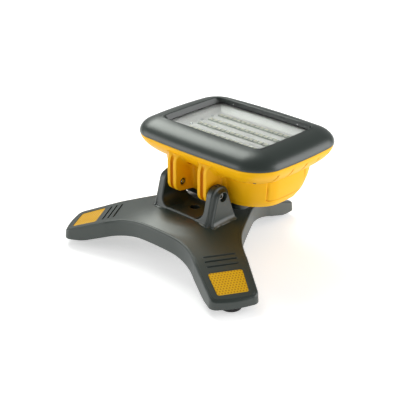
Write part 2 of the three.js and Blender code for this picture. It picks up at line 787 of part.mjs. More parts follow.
// A flat plate that follows the window's outline, grown by one amount and holed by another.
function panePlate(from, to, grow, hole) {
  const plate = prism(headOutline(pane, pane.bow, -grow), from, to);
  return hole === undefined ? plate : cut(plate, prism(headOutline(pane, pane.bow, -hole), from - 1, to + 1));
}

piece("window_gasket",
  panePlate(gasketTop - gasket.thick, gasketTop, lens.overlap, lens.overlap - gasket.width), "rubber");
piece("window_lens", panePlate(lensTop - lens.thick, lensTop, lens.overlap), "clear");

// ---- Head: reflector tray and lamps ----------------------------------------------------------

const paneLong = pane.far - pane.near;
const rowPitch = (paneLong - 2 * tray.floorIn) / lamps.rows;
const rowY = (i) => (pane.near + pane.far) / 2 + (i - (lamps.rows - 1) / 2) * rowPitch;
const slotHalf = pane.half - tray.floorIn - tray.slotIn;
const trayScrewPlaces = [-1, 1].flatMap((side) =>
  range(lamps.rows - 1).map((i) => [side * (slotHalf + trayScrew.out), (rowY(i) + rowY(i + 1)) / 2]));

function reflectorTray() {
  const dish = loft([
    paneRing(trayFloor - tray.thick, -tray.floorIn - 1),
    paneRing(trayTop - tray.thick, 0.4),
    paneRing(trayTop - tray.thick, lens.overlap),
    paneRing(trayTop, lens.overlap),
    paneRing(trayTop, -tray.rim),
    paneRing(trayFloor, -tray.floorIn),
  ]);
  const slots = range(lamps.rows).map((i) =>
    block([-slotHalf, rowY(i) - tray.slotWide / 2, boardTop],
      [slotHalf, rowY(i) + tray.slotWide / 2, trayFloor + 1]));
  const holes = trayScrewPlaces.map(([x, y]) => rod("z", trayScrew.bore, boardTop, trayFloor + 1, [x, y], 8));
  return cut(dish, ...slots, ...holes);
}

piece("reflector_tray", reflectorTray(), "white");

range(lamps.rows).forEach((i) => {
  const low = boardTop + gap;
  const chipTop = low + lamps.stripHigh + lamps.chipHigh;
  const reach = slotHalf - lamps.endIn;
  const chips = range(lamps.perRow).map((k) => {
    const x = mix(-reach, reach, k / (lamps.perRow - 1));
    return block([x - lamps.chip / 2, rowY(i) - lamps.chip / 2, low + lamps.stripHigh / 2],
      [x + lamps.chip / 2, rowY(i) + lamps.chip / 2, chipTop]);
  });
  const strip = block([-slotHalf + 1, rowY(i) - lamps.stripWide / 2, low],
    [slotHalf - 1, rowY(i) + lamps.stripWide / 2, low + lamps.stripHigh]);
  piece(`led_row_${i + 1}`, join(strip, ...chips), "lamp");
});

const trayScrewHoles = (low, high) =>
  trayScrewPlaces.map(([x, y]) => rod("z", trayScrew.shank + gap, low, high, [x, y], 8));

// A plate under the tray, drawn in from the window's opening by one amount all round.
const plateUnder = (inset, low, high) =>
  block([-pane.half + inset, pane.near + inset, low], [pane.half - inset, pane.far - inset, high]);

piece("led_board", cut(
  plateUnder(board.in, boardTop - board.thick, boardTop),
  ...trayScrewHoles(boardTop - board.thick - 1, boardTop + 1),
), "laminate");

const fins = range(sink.fins).map((i) => {
  const reach = slotHalf - sink.finSide;
  const x = mix(-reach, reach, i / (sink.fins - 1));
  return block([x - sink.finThick / 2, pane.near + sink.finIn, sinkLow - sink.finDeep],
    [x + sink.finThick / 2, pane.far - sink.finIn, sinkTop - 1]);
});
piece("heat_sink", cut(
  join(plateUnder(0, sinkLow, sinkTop), ...fins),
  ...trayScrewHoles(sinkLow - sink.finDeep - 1, sinkTop + 1),
), "aluminium");

trayScrewPlaces.forEach(([x, y], i) => {
  const seat = trayFloor + gap;
  const body = join(
    rod("z", trayScrew.shank, seat - trayScrew.long, seat + 0.5, [x, y], 8),
    rod("z", trayScrew.head, seat, seat + trayScrew.headLong, [x, y], 10),
  );
  piece(`tray_screw_${i + 1}`, body, "steel");
});

screwPlaces.forEach(([x, y], i) => {
  const seat = fixing.headZ - gap;
  const body = join(
    rod("z", screw.head, seat - screw.headLong, seat, [x, y], 12),
    rod("z", screw.shank, seat - 0.5, seat + fixing.long, [x, y], 8),
  );
  piece(`housing_screw_${i + 1}`, body, "steel");
});

// ---- Head: battery bay -----------------------------------------------------------------------

piece("battery_cover", cut(
  prism(bayOutline(-gap, cover.radius), box.bottomZ, box.bottomZ + cover.thick),
  ...coverScrewPlaces.map(([x, y]) => rod("z", screw.bore, box.bottomZ - 1, coverFloor, [x, y], 8)),
  ...coverScrewPlaces.map(([x, y]) =>
    rod("z", screw.pocket, box.bottomZ - 1, box.bottomZ + cover.screwSunk, [x, y], 12)),
), "slate");

coverScrewPlaces.forEach(([x, y], i) => {
  const low = box.bottomZ + 0.1;
  const body = join(
    rod("z", screw.head, low, box.bottomZ + cover.screwSunk - gap, [x, y], 12),
    rod("z", screw.shank, low + gap, padTop - cover.screwEnd - gap, [x, y], 8),
  );
  piece(`cover_screw_${i + 1}`, body, "steel");
});

const cellY = (i) => bayMiddle + (i - (cell.count - 1) / 2) * cell.pitch;
const holderHalf = cell.long / 2 + gap + holder.wall;
const holderHalfLong = (cell.pitch * (cell.count - 1)) / 2 + cell.radius + gap + holder.wall;
const postTop = holderFloor + holder.postHigh;

function cellHolder() {
  const outer = block([-holderHalf, bayMiddle - holderHalfLong, holderFloor],
    [holderHalf, bayMiddle + holderHalfLong, holderFloor + holder.wallHigh]);
  const hollow = block(
    [-holderHalf + holder.wall, bayMiddle - holderHalfLong + holder.wall, holderFloor + holder.floor],
    [holderHalf - holder.wall, bayMiddle + holderHalfLong - holder.wall, holderFloor + holder.wallHigh + 1],
  );
  const posts = [-1, 1].flatMap((sx) => [-1, 1].map((sy) => {
    const x = sx * (holderHalf + holder.post / 2 - 0.5);
    const y = bayMiddle + sy * (holderHalfLong - holder.postIn);
    return block([x - holder.post / 2, y - holder.post / 2, holderFloor],
      [x + holder.post / 2, y + holder.post / 2, postTop]);
  }));
  return join(cut(outer, hollow), ...posts);
}

piece("cell_holder", cellHolder(), "black");
range(cell.count).forEach((i) => {
  const can = rod("x", cell.radius, -cell.long / 2, cell.long / 2, [cellY(i), cellZ]);
  piece(`battery_cell_${i + 1}`, can, "cellBlue");
});

// The driver board stands on the cell holder's posts, with a coil, a capacitor, a chip and a terminal.
function driverBoard() {
  const low = postTop + gap;
  const halfX = holderHalf + holder.post;
  const halfY = holderHalfLong - driver.in;
  const plate = block([-halfX, bayMiddle - halfY, low], [halfX, bayMiddle + halfY, low + driver.thick]);
  const top = low + driver.thick - 0.1;
  return join(
    plate,
    rod("z", driver.coil, top, top + driver.coilHigh, [halfX - 2 * driver.coil - 1, bayMiddle + 12], 16),
    block([-24, bayMiddle - 20, top], [-12, bayMiddle - 8, top + driver.chipHigh]),
    block([-6, bayMiddle + 6, top], [4, bayMiddle + 22, top + driver.tallPart]),
    block([halfX - 9, bayMiddle - 24, top], [halfX - 2, bayMiddle - 6, top + driver.coilHigh]),
  );
}

piece("driver_board", driverBoard(), "green");

// ---- Head: power button and charging socket ---------------------------------------------------

const buttonSeat = farWall(button.z - button.flange) - skin - 2 * gap;
piece("power_button", join(
  rod("y", button.radius, buttonSeat - 1, buttonPadY + button.proud, [0, button.z]),
  rod("y", button.flange, buttonSeat - button.flangeThick, buttonSeat, [0, button.z]),
), "rubber");

// The switch stands on the battery cover's rim, just beyond the button's travel.
const switchFront = buttonSeat - button.flangeThick - button.travel - gap;
const switchBack = bayMiddle + holderHalfLong + 2 * gap;
piece("switch_module", join(
  block([-toggle.half, switchBack, padTop + gap],
    [toggle.half, switchBack + toggle.wall, button.z + toggle.above]),
  block([-toggle.body, switchBack + toggle.wall - 1, button.z - toggle.body],
    [toggle.body, switchFront - toggle.plunger + 1, button.z + toggle.body]),
  rod("y", toggle.plunger, switchFront - toggle.plunger, switchFront, [0, button.z], 16),
), "black");

const jackFace = -jackPadX + 0.2;
piece("charge_socket", cut(
  join(
    rod("x", jack.radius + jack.rim, jackFace, -jackPadX + jack.rimThick - gap, [jackY, jack.z]),
    rod("x", jack.radius, jackFace + 1, jackFace + jack.long, [jackY, jack.z]),
  ),
  rod("x", jack.bore, jackFace - 1, jackFace + jack.deep, [jackY, jack.z]),
), "black");

const knuckleHalf = flap.half - flap.lugWide;
const flapNeckZ = flap.hingeZ - 2 * flap.knuckle;
piece("charge_cover", cut(
  join(
    block([-jackPadX - gap - flap.thick, jackY - flap.half, flap.low],
      [-jackPadX - gap, jackY + flap.half, flapNeckZ]),
    block([-jackPadX - gap - flap.thick, jackY - knuckleHalf, flapNeckZ - 1],
      [-jackPadX - gap, jackY + knuckleHalf, flap.hingeZ]),
    rod("y", flap.knuckle, jackY - knuckleHalf, jackY + knuckleHalf, [flapAxisX, flap.hingeZ], 16),
  ),
  rod("y", flap.pin + gap, jackY - flap.half, jackY + flap.half, [flapAxisX, flap.hingeZ], 12),
), "rubber");
piece("charge_cover_pin",
  rod("y", flap.pin, jackY - flap.half, jackY + flap.half, [flapAxisX, flap.hingeZ], 12), "steel");

// ---- Origin: the middle of the part's footprint, on the ground --------------------------------

root.updateMatrixWorld(true);
const bounds = new THREE.Box3().setFromObject(root, true);
const centre = bounds.getCenter(new THREE.Vector3());
root.position.set(-centre.x, -centre.y, -bounds.min.z);

export default root;
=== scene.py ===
import json
import math

import bmesh
import bpy
import numpy as np
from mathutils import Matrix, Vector


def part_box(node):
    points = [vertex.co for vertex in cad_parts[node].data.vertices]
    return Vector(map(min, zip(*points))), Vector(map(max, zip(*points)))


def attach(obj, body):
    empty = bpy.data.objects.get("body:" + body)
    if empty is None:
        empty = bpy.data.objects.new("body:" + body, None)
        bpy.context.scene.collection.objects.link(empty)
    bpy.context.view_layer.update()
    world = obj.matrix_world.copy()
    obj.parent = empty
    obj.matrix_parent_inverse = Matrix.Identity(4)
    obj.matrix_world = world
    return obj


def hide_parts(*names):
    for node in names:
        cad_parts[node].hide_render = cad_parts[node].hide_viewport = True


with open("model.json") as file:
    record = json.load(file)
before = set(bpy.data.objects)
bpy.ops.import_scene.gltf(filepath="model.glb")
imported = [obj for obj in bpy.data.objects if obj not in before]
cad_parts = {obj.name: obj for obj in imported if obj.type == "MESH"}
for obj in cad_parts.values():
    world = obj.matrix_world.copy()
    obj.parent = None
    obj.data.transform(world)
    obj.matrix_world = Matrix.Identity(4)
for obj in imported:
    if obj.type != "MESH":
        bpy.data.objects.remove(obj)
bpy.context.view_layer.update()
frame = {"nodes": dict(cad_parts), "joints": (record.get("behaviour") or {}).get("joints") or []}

MM = 0.001  # every shape below is worked out in millimetres and laid down in metres

# ---- Places taken from the frame --------------------------------------------------------------------


def corners_mm(node):
    """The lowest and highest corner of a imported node, in millimetres."""
    low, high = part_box(node)
    return np.array(low) / MM, np.array(high) / MM


def joint_place(name):
    """Where a joint's axis lies, in millimetres."""
    joint = next(j for j in frame["joints"] if j["name"] == name)
    return np.array(joint["pos_m"]) / MM


bush_low, bush_high = corners_mm("thread_bush")
bezel_low, bezel_high = corners_mm("bezel")
tray_high = corners_mm("reflector_tray")[1]
board_high = corners_mm("led_board")[1]
HUB_Y = (bush_low[1] + bush_high[1]) / 2
HINGE = joint_place("head_tilt")

# ---- Driving sizes, in millimetres ------------------------------------------------------------------

LEG_ANGLES = (90, 210, 330)
REACH = 168.0  # from the hub's axis to a leg's tip
TIP_HALF = 29.5
ROOT_HALF = 32.0
ROOT_AT = 90.0  # where along the leg its root half width is measured
WAIST = 69.5
WAIST_FILLET = 95.0
TIP_CORNER = 9.0
TIP_BOW = 2.0
SHELL_WALL = 3.0
TOP_EDGE = 2.6  # radius of the base's top edge
EYE = 6.0  # the hole through the yoke's floor
CROWN_TOP = 58.4  # the crown's height round the hub, a step below the yoke's floor

EAR_IN = 35.5
EAR_OUT = 50.7
EAR_CROWN = 16.0
EAR_FRONT = -25.5
EAR_BACK = 22.0
EAR_FOOT = 60.0

HEAD_HALF = 116.0
HEAD_NEAR = -10.0
HEAD_FAR = 165.5
HEAD_RADIUS = 34.0
HEAD_BOW = 5.2
JOIN = 46.0  # where housing and bezel meet, over the hinge

# ---- Meshes -----------------------------------------------------------------------------------------


class Skin:
    """Patches of one surface, each a grid of points, welded where they meet."""

    def __init__(self):
        self.points = []
        self.faces = []
        self.count = 0

    def add(self, grid, around=False, turned=False):
        """Adds a (rows, columns, 3) grid. Faces look along column step x row step, or back if turned."""
        rows, columns = grid.shape[:2]
        index = np.arange(rows * columns).reshape(rows, columns) + self.count
        if around:
            index = np.hstack([index, index[:, :1]])
        quads = np.stack([index[:-1, :-1], index[:-1, 1:], index[1:, 1:], index[1:, :-1]], -1)
        quads = quads.reshape(-1, 4)
        self.faces.append(quads[:, ::-1] if turned else quads)
        self.points.append(grid.reshape(-1, 3))
        self.count += rows * columns
        return self

    def moved(self, change):
        """The same skin with every point put through a function of an (n, 3) array."""
        other = Skin()
        other.faces = list(self.faces)
        other.points = [change(np.concatenate(self.points))]
        other.count = self.count
        return other

    def join(self, *skins):
        """Takes other skins in as patches."""
        for skin in skins:
            self.faces += [quads + self.count for quads in skin.faces]
            self.points += skin.points
            self.count += skin.count
        return self


def lay(name, skin, body, material, stands_for=(), crease=38, outward=True):
    """Makes a mesh object of a skin: welded, facing out, smooth up to the crease angle."""
    points = np.concatenate(skin.points) * MM
    faces = np.concatenate(skin.faces)
    mesh = bpy.data.meshes.new(name)
    mesh.from_pydata(points.tolist(), [], faces.tolist())
    made = bmesh.new()
    made.from_mesh(mesh)
    bmesh.ops.remove_doubles(made, verts=made.verts, dist=0.004 * MM)
    bmesh.ops.dissolve_degenerate(made, edges=made.edges, dist=0.0005 * MM)
    if outward:
        bmesh.ops.recalc_face_normals(made, faces=made.faces)
    made.to_mesh(mesh)
    made.free()
    mesh.shade_smooth()
    mesh.set_sharp_from_angle(angle=math.radians(crease))
    mesh.materials.append(material)
    piece = bpy.data.objects.new(name, mesh)
    bpy.context.scene.collection.objects.link(piece)
    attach(piece, body)
    if stands_for:
        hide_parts(*stands_for)
    return piece


def mesh_points(piece):
    """A piece's vertices, in millimetres."""
    spots = np.empty(len(piece.data.vertices) * 3)
    piece.data.vertices.foreach_get("co", spots)
    return spots.reshape(-1, 3) / MM


def mark(piece, name, values):
    """Gives each vertex of a piece a value that its material can read."""
    piece.data.attributes.new(name, "FLOAT", "POINT").data.foreach_set("value", values)


def turn_z(points, degrees):
    """Points turned about the Z axis."""
    c, s = math.cos(math.radians(degrees)), math.sin(math.radians(degrees))
    return points @ np.array([[c, s, 0], [-s, c, 0], [0, 0, 1]])


def spin(profile, sides=48):
    """A profile of (radius, height) carried round the Z axis: a row of the grid for each profile point."""
    profile = np.asarray(profile, float)
    angle = np.linspace(0, 2 * math.pi, sides, endpoint=False)
    x = profile[:, :1] * np.cos(angle)
    y = profile[:, :1] * np.sin(angle)
    z = np.repeat(profile[:, 1:], sides, 1)
    return np.stack([x, y, z], -1)


def rounded(corners, arc=8, straight=1):
    """A closed outline through corners (x, y, radius).

    Each corner is an arc of so many points, tangent to both its sides, and a straight stretch follows it.
    """
    corners = np.array(corners, float)
    here, radius = corners[:, :2], corners[:, 2]
    back = np.roll(here, 1, 0) - here
    ahead = np.roll(here, -1, 0) - here
    back /= np.linalg.norm(back, axis=1)[:, None]
    ahead /= np.linalg.norm(ahead, axis=1)[:, None]
    turn = math.pi - np.arccos(np.clip((back * ahead).sum(1), -1, 1))
    middle = back + ahead
    middle /= np.linalg.norm(middle, axis=1)[:, None]
    centre = here + middle * (radius / np.cos(turn / 2))[:, None]
    start = here + back * (radius * np.tan(turn / 2))[:, None] - centre
    way = -np.sign(back[:, 0] * ahead[:, 1] - back[:, 1] * ahead[:, 0])
    angle = (way * turn)[:, None] * np.linspace(0, 1, arc)
    x = start[:, :1] * np.cos(angle) - start[:, 1:] * np.sin(angle) + centre[:, :1]
    y = start[:, :1] * np.sin(angle) + start[:, 1:] * np.cos(angle) + centre[:, 1:]
    arcs = np.stack([x, y], -1)
    share = np.linspace(0, 1, straight + 1)[1:-1, None, None]
    links = arcs[:, -1] * (1 - share) + np.roll(arcs[:, 0], -1, 0) * share
    return np.concatenate([arcs, links.transpose(1, 0, 2)], 1).reshape(-1, 2)


def outline_normals(outline):
    """The unit normals of a closed outline that runs anticlockwise, pointing out."""
    along = np.roll(outline, -1, 0) - np.roll(outline, 1, 0)
    along /= np.linalg.norm(along, axis=1)[:, None] + 1e-12
    return np.stack([along[:, 1], -along[:, 0]], 1)


def at_height(outline, z):
    """An outline as a ring of points at one height."""
    return np.column_stack([outline, np.full(len(outline), float(z))])


def at_side(outline, x):
    """An outline in y and z as a ring of points at one x."""
    return np.column_stack([np.full(len(outline), float(x)), outline])


def at_angles(outline, centre, angles):
    """Where rays from a centre at given angles meet a closed outline that goes round it.

    The outline is straight between its points, so x and y are filled in finely before the angles are read.
    """
    away = outline - centre
    own = np.unwrap(np.arctan2(away[:, 1], away[:, 0]))
    own = np.append(own, own[0] + 2 * math.pi)
    wanted = (np.asarray(angles) - own[0]) % (2 * math.pi) + own[0]
    fine = np.linspace(own[0], own[-1], 2880)
    x = np.interp(fine, own, np.append(away[:, 0], away[0, 0]))
    y = np.interp(fine, own, np.append(away[:, 1], away[0, 1]))
    true = np.unwrap(np.arctan2(y, x))
    r = np.interp(wanted, true, np.hypot(x, y))
    return centre + np.stack([np.cos(wanted), np.sin(wanted)], 1) * r[:, None]


def between(inner, outer, shares):
    """A grid that runs straight from one line of points to another, a row at each share of the way."""
    shares = np.asarray(shares, float)[:, None, None]
    return inner[None] * (1 - shares) + outer[None] * shares


def fillet(height, radius):
    """How far a concave fillet stands out at a height over the surface it runs into."""
    low = np.clip(radius - height, 0, radius)
    return radius - np.sqrt(radius**2 - low**2)


def eased(x, places, values, reach):
    """A line through (place, value) points, its corners rounded by averaging over a stretch of x."""
    shifts = np.linspace(-reach, reach, 13)
    return np.mean([np.interp(x + s, places, values) for s in shifts], 0)


# ---- Materials --------------------------------------------------------------------------------------


def new_group(name, inputs, outputs):
    """An empty node group with named sockets, given as (name, kind, default)."""
    group = bpy.data.node_groups.new(name, "ShaderNodeTree")
    kinds = {"value": "NodeSocketFloat", "colour": "NodeSocketColor", "vector": "NodeSocketVector"}
    for label, kind, default in inputs:
        socket = group.interface.new_socket(label, in_out="INPUT", socket_type=kinds[kind])
        if default is not None:
            socket.default_value = default
    for label, kind in outputs:
        group.interface.new_socket(label, in_out="OUTPUT", socket_type=kinds[kind])
    return group, group.nodes.new("NodeGroupInput"), group.nodes.new("NodeGroupOutput")


def wire(tree, kind, links=(), **values):
    """Adds a node, sets its attributes and its sockets by name or number, and links what is given."""
    node = tree.nodes.new(kind)
    for key, value in values.items():
        setattr(node, key, value)
    for socket, source in links:
        if hasattr(source, "links"):
            tree.links.new(source, node.inputs[socket])
        else:
            node.inputs[socket].default_value = source
    return node


def noise(tree, place, scale, detail=2.0):
    """The value of a noise pattern at a place."""
    links = [("Vector", place), ("Scale", scale), ("Detail", detail)]
    return wire(tree, "ShaderNodeTexNoise", links).outputs[0]


def spread(tree, value, low, high, to_low=0.0, to_high=1.0):
    """A value's run from low to high brought to another run, and held within it."""
    ends = [("From Min", low), ("From Max", high), ("To Min", to_low), ("To Max", to_high)]
    return wire(tree, "ShaderNodeMapRange", [("Value", value), *ends]).outputs[0]


def combine(tree, operation, first, second):
    """Two values added or multiplied."""
    return wire(tree, "ShaderNodeMath", [(0, first), (1, second)], operation=operation).outputs[0]


def mix(tree, share, first, second):
    """A colour that lies between two others by a share."""
    links = [("Factor", share), (6, first), (7, second)]
    return wire(tree, "ShaderNodeMix", links, data_type="RGBA").outputs[2]


def put(node, values):
    """Sets a node's sockets by name."""
    for label, value in values.items():
        node.inputs[label].default_value = value


def new_material(name):
    """A new material, its node tree and its shader."""
    material = bpy.data.materials.new(name)
    material.use_nodes = True
    return material, material.node_tree, material.node_tree.nodes["Principled BSDF"]


def object_place(tree):
    """The place on the piece, which every pattern here goes by."""
    return wire(tree, "ShaderNodeTexCoord").outputs["Object"]


RUBBED_TONE = (0.62, 0.62, 0.6, 1)


def make_moulded():
    """The look that every moulded surface shares.

    Grain is a fine even stipple, mottle a broad drift of gloss and tone, scuff a few faint rubbed streaks.
    """
    group, given, result = new_group(
        "moulded_surface",
        [("Colour", "colour", (0.5, 0.5, 0.5, 1)), ("Roughness", "value", 0.4),
         ("Grain Size", "value", 900.0), ("Grain Depth", "value", 0.2),
         ("Mottle", "value", 0.05), ("Scuff", "value", 0.1)],
        [("Colour", "colour"), ("Roughness", "value"), ("Height", "value"), ("Normal", "vector")],
    )
    place = object_place(group)
    grain = wire(group, "ShaderNodeTexNoise", [
        ("Vector", place), ("Scale", given.outputs["Grain Size"]), ("Detail", 2.0), ("Roughness", 0.55),
    ]).outputs[0]
    drift = noise(group, place, 14.0, 3.0)
    stretched = wire(group, "ShaderNodeMapping", [
        ("Vector", place), ("Scale", (30.0, 260.0, 90.0)), ("Rotation", (0.3, 0.5, 0.8)),
    ]).outputs[0]
    streak = spread(group, noise(group, stretched, 1.0, 4.0), 0.62, 0.78)
    rub = combine(group, "MULTIPLY", streak, given.outputs["Scuff"])
    sway = combine(group, "MULTIPLY", spread(group, drift, 0.3, 0.7, -1.0, 1.0), given.outputs["Mottle"])
    shade = combine(group, "ADD", sway, 1.0)
    tone = wire(group, "ShaderNodeVectorMath", [(0, given.outputs["Colour"]), ("Scale", shade)],
                operation="SCALE").outputs[0]
    colour = mix(group, rub, tone, RUBBED_TONE)
    rough = combine(group, "ADD", given.outputs["Roughness"], sway)
    rougher = combine(group, "ADD", rough, rub)
    bump = wire(group, "ShaderNodeBump", [
        ("Strength", given.outputs["Grain Depth"]), ("Distance", 0.0002), ("Height", grain),
    ]).outputs[0]
    for label, source in (("Colour", colour), ("Roughness", rougher), ("Height", grain), ("Normal", bump)):
        group.links.new(source, result.inputs[label])
    return group


MOULDED = make_moulded()


def moulded(name, colour, roughness, grain=900.0, depth=0.15, mottle=0.03, scuff=0.08, metallic=0.0,
            specular=0.5):
    """A moulded or cast finish built on the shared surface look."""
    material, tree, shader = new_material(name)
    look = wire(tree, "ShaderNodeGroup", node_tree=MOULDED)
    put(look, {"Colour": (*colour, 1), "Roughness": roughness, "Grain Size": grain, "Grain Depth": depth,
               "Mottle": mottle, "Scuff": scuff})
    for source, target in (("Colour", "Base Color"), ("Roughness", "Roughness"), ("Normal", "Normal")):
        tree.links.new(look.outputs[source], shader.inputs[target])
    put(shader, {"Metallic": metallic, "Specular IOR Level": specular})
    return material


def painted_shade_in_hollows(material, colour):
    """Painted shade: draws a material's colour towards another, darker one by the mesh's hollow attribute,
    where shade falls in narrow lines and grooves.
    """
    tree = material.node_tree
    base = tree.nodes["Principled BSDF"].inputs["Base Color"]
    depth = wire(tree, "ShaderNodeAttribute", attribute_name="hollow").outputs["Fac"]
    tree.links.new(mix(tree, depth, base.links[0].from_socket, (*colour, 1)), base)


def make_reflex():
    """Amber reflector: a honeycomb of prisms under a glossy skin, each cell a little lighter or darker."""
    material, tree, shader = new_material("amber_honeycomb")
    cell = wire(tree, "ShaderNodeAttribute", attribute_name="cell").outputs["Fac"]
    gap = spread(tree, cell, 0.12, 0.42)
    drift = noise(tree, object_place(tree), 60.0)
    light = mix(tree, drift, (0.80, 0.44, 0.004, 1), (0.88, 0.52, 0.010, 1))
    tint = mix(tree, gap, (0.50, 0.19, 0.002, 1), light)
    relief = [("Strength", 0.5), ("Distance", 0.0003), ("Height", gap)]
    bump = wire(tree, "ShaderNodeBump", relief).outputs[0]
    tree.links.new(tint, shader.inputs["Base Color"])
    tree.links.new(bump, shader.inputs["Normal"])
    put(shader, {"Roughness": 0.35, "Specular IOR Level": 0.25})
    return material


def make_glass():
    """The clear window: thin, almost colourless, with a faint haze of fingermarks in its gloss."""
    material, tree, shader = new_material("clear_window")
    gloss = spread(tree, noise(tree, object_place(tree), 35.0, 4.0), 0.4, 0.8, 0.02, 0.07)
    tree.links.new(gloss, shader.inputs["Roughness"])
    put(shader, {"Base Color": (1.0, 1.0, 0.995, 1), "Transmission Weight": 1.0, "Metallic": 0.0,
                 "IOR": 1.2})
    return material


slate = moulded("slate_plastic", (0.017, 0.028, 0.023), 0.36, grain=1500.0, depth=0.08, mottle=0.02,
                scuff=0.0, specular=0.75)
yellow = moulded("yellow_plastic", (0.95, 0.50, 0.003), 0.42, grain=1300.0, depth=0.05, mottle=0.01,
                 scuff=0.0, specular=0.22)
# painted shade: the yellow is drawn towards dark orange in the housing's lines, screw pockets and rib
# grooves, where shade falls
painted_shade_in_hollows(yellow, (0.62, 0.16, 0.001))
black_rubber = moulded("black_rubber", (0.010, 0.010, 0.011), 0.7, grain=700.0, depth=0.3, scuff=0.05)
black_plastic = moulded("black_plastic", (0.014, 0.015, 0.016), 0.45)
white_gloss = moulded("white_tray", (0.93, 0.94, 0.92), 0.25, grain=500.0, depth=0.02, mottle=0.01,
                      scuff=0.0)
board_white = moulded("white_board", (0.42, 0.47, 0.40), 0.45, depth=0.05, scuff=0.0)
steel = moulded("zinc_steel", (0.55, 0.56, 0.57), 0.28, grain=1800.0, depth=0.1, metallic=1.0, scuff=0.0)
brass = moulded("turned_brass", (0.62, 0.43, 0.16), 0.3, grain=1500.0, depth=0.1, metallic=1.0)
aluminium = moulded("blasted_aluminium", (0.6, 0.61, 0.62), 0.42, metallic=1.0)
green_board = moulded("green_board", (0.03, 0.16, 0.06), 0.4)
cell_blue = moulded("cell_sleeve", (0.04, 0.16, 0.42), 0.3)
resin = moulded("lamp_resin", (1.0, 0.99, 0.78), 0.25, depth=0.02, scuff=0.0)
package = moulded("lamp_package", (1.0, 1.0, 0.92), 0.3, depth=0.02, scuff=0.0)
dark_steel = moulded("blackened_steel", (0.10, 0.10, 0.10), 0.35, grain=1800.0, metallic=1.0, scuff=0.0)
reflex = make_reflex()
glass = make_glass()

NODE_LOOKS = {
    "thread_bush": brass, "window_gasket": black_rubber, "window_lens": glass, "led_board": board_white,
    "heat_sink": aluminium, "cell_holder": black_plastic, "driver_board": green_board,
    "switch_module": black_plastic, "charge_socket": black_plastic, "power_button": black_rubber,
    "charge_cover": black_rubber, "battery_cover": slate, "reflector_tray": white_gloss,
    "rear_housing": yellow, "bezel": slate, "base_shell": slate,
}
PREFIX_LOOKS = {
    "reflector_panel": reflex, "rubber_foot": black_rubber, "friction_washer": black_plastic,
    "battery_cell": cell_blue, "led_row": resin, "housing_screw": dark_steel,
}
for node_name, node_object in frame["nodes"].items():
    look = NODE_LOOKS.get(node_name)
    for prefix, material in PREFIX_LOOKS.items():
        if node_name.startswith(prefix):
            look = material
    node_object.data.materials.clear()
    node_object.data.materials.append(look or steel)

# ---- Base -------------------------------------------------------------------------------------------


def crown_height(r):
    """The crown's height over the ground at a distance from the hub's axis: flat, then ever steeper."""
    places = [0, 44, 104, 168, 180]
    heights = [CROWN_TOP, CROWN_TOP, 43.2, 20.0, 15.65]
    return eased(r, places, heights, reach=9.0)


def skirt_height(r):
    """The height of the shell's lower edge: level round the hub, then down along the legs."""
    places = [0, 70, 107, 146, 176]
    heights = [32, 32, 22.5, 9.3, 8.6]
    return eased(r, places, heights, reach=7.0)


GROOVES = (102.8, 110.2, 117.7)
GROOVE_HALF = 19.5
GROOVE_WIDE = 1.2
GROOVE_DEEP = 1.8
STRIP = (98.0, 122.0)  # the leg's grooved stretch
CROWN_ROUND = 64.0  # within this distance of the hub's axis the crown is round
CROWN_BLEND = 33.0  # over this further stretch it comes to follow the legs


def leg_edge():
    """The +s half of a leg's outline as (r, s) in the leg's frame, from the waist's middle to the tip's.

    An arc rounds the waist, a straight flank narrows to the tip's corner, and the tip bows as a parabola.
    The grooved stretch has points beside each groove, so that its grid lines lie along the grooves.
    """
    slope = (ROOT_HALF - TIP_HALF) / (REACH - ROOT_AT)
    axis_half = ROOT_HALF + slope * ROOT_AT
    c, s = math.cos(math.radians(60)), math.sin(math.radians(60))
    root = (WAIST - axis_half * s) / (c - slope * s)
    corner = [root, axis_half - slope * root]
    waist_middle = np.array([WAIST * c, WAIST * s])
    tangent = WAIST_FILLET * math.tan((math.radians(30) + math.atan(slope)) / 2)
    along_waist = waist_middle - corner
    along_waist /= np.linalg.norm(along_waist)
    along_leg = np.array([1, -slope]) / math.hypot(1, slope)
    begin = np.array(corner) + along_waist * tangent
    inward = np.array([along_waist[1], -along_waist[0]])
    inward *= np.sign(inward @ (np.array([200.0, 200.0]) - corner))
    centre = begin + inward * WAIST_FILLET
    a0 = math.atan2(*(begin - centre)[::-1])
    end = np.array(corner) + along_leg * tangent
    a1 = math.atan2(*(end - centre)[::-1])
    arc = np.linspace(a0, a1, 400)
    bend = centre + WAIST_FILLET * np.stack([np.cos(arc), np.sin(arc)], 1)
    tip_start = REACH - TIP_CORNER
    far = np.array([[tip_start, axis_half - slope * tip_start]])
    dense = np.vstack([waist_middle[None], bend, far])

    def half(r):
        return np.interp(r, dense[:, 0], dense[:, 1])

    fine = np.concatenate([g + np.linspace(-1.5, 1.5, 13) for g in GROOVES])
    strip = np.unique(np.round(np.concatenate([fine, np.linspace(*STRIP, 17)]), 3))
    hub = waist_middle[0] + (STRIP[0] - waist_middle[0]) * np.linspace(0, 1, 40)[:-1]
    end_r = np.linspace(STRIP[1], tip_start, 26)[1:]
    side = np.concatenate([hub, strip, end_r])
    turn = np.linspace(0, 1, 12)[1:]
    angle = math.radians(88) * (1 - turn)
    corner_r = REACH - TIP_CORNER + TIP_CORNER * np.cos(angle)
    corner_s = half(tip_start) - TIP_CORNER + TIP_CORNER * np.sin(angle) - 0.2 * turn
    face_s = corner_s[-1] * np.linspace(1, 0, 16)[1:]
    face_r = REACH + TIP_BOW * (1 - (face_s / corner_s[-1]) ** 2)
    stretches = ((side, half(side)), (corner_r, corner_s), (face_r, face_s))
    edge = np.vstack([np.stack(pair, 1) for pair in stretches])
    return edge, len(hub), len(hub) + len(strip)


LEG_EDGE, STRIP_FROM, STRIP_TO = leg_edge()


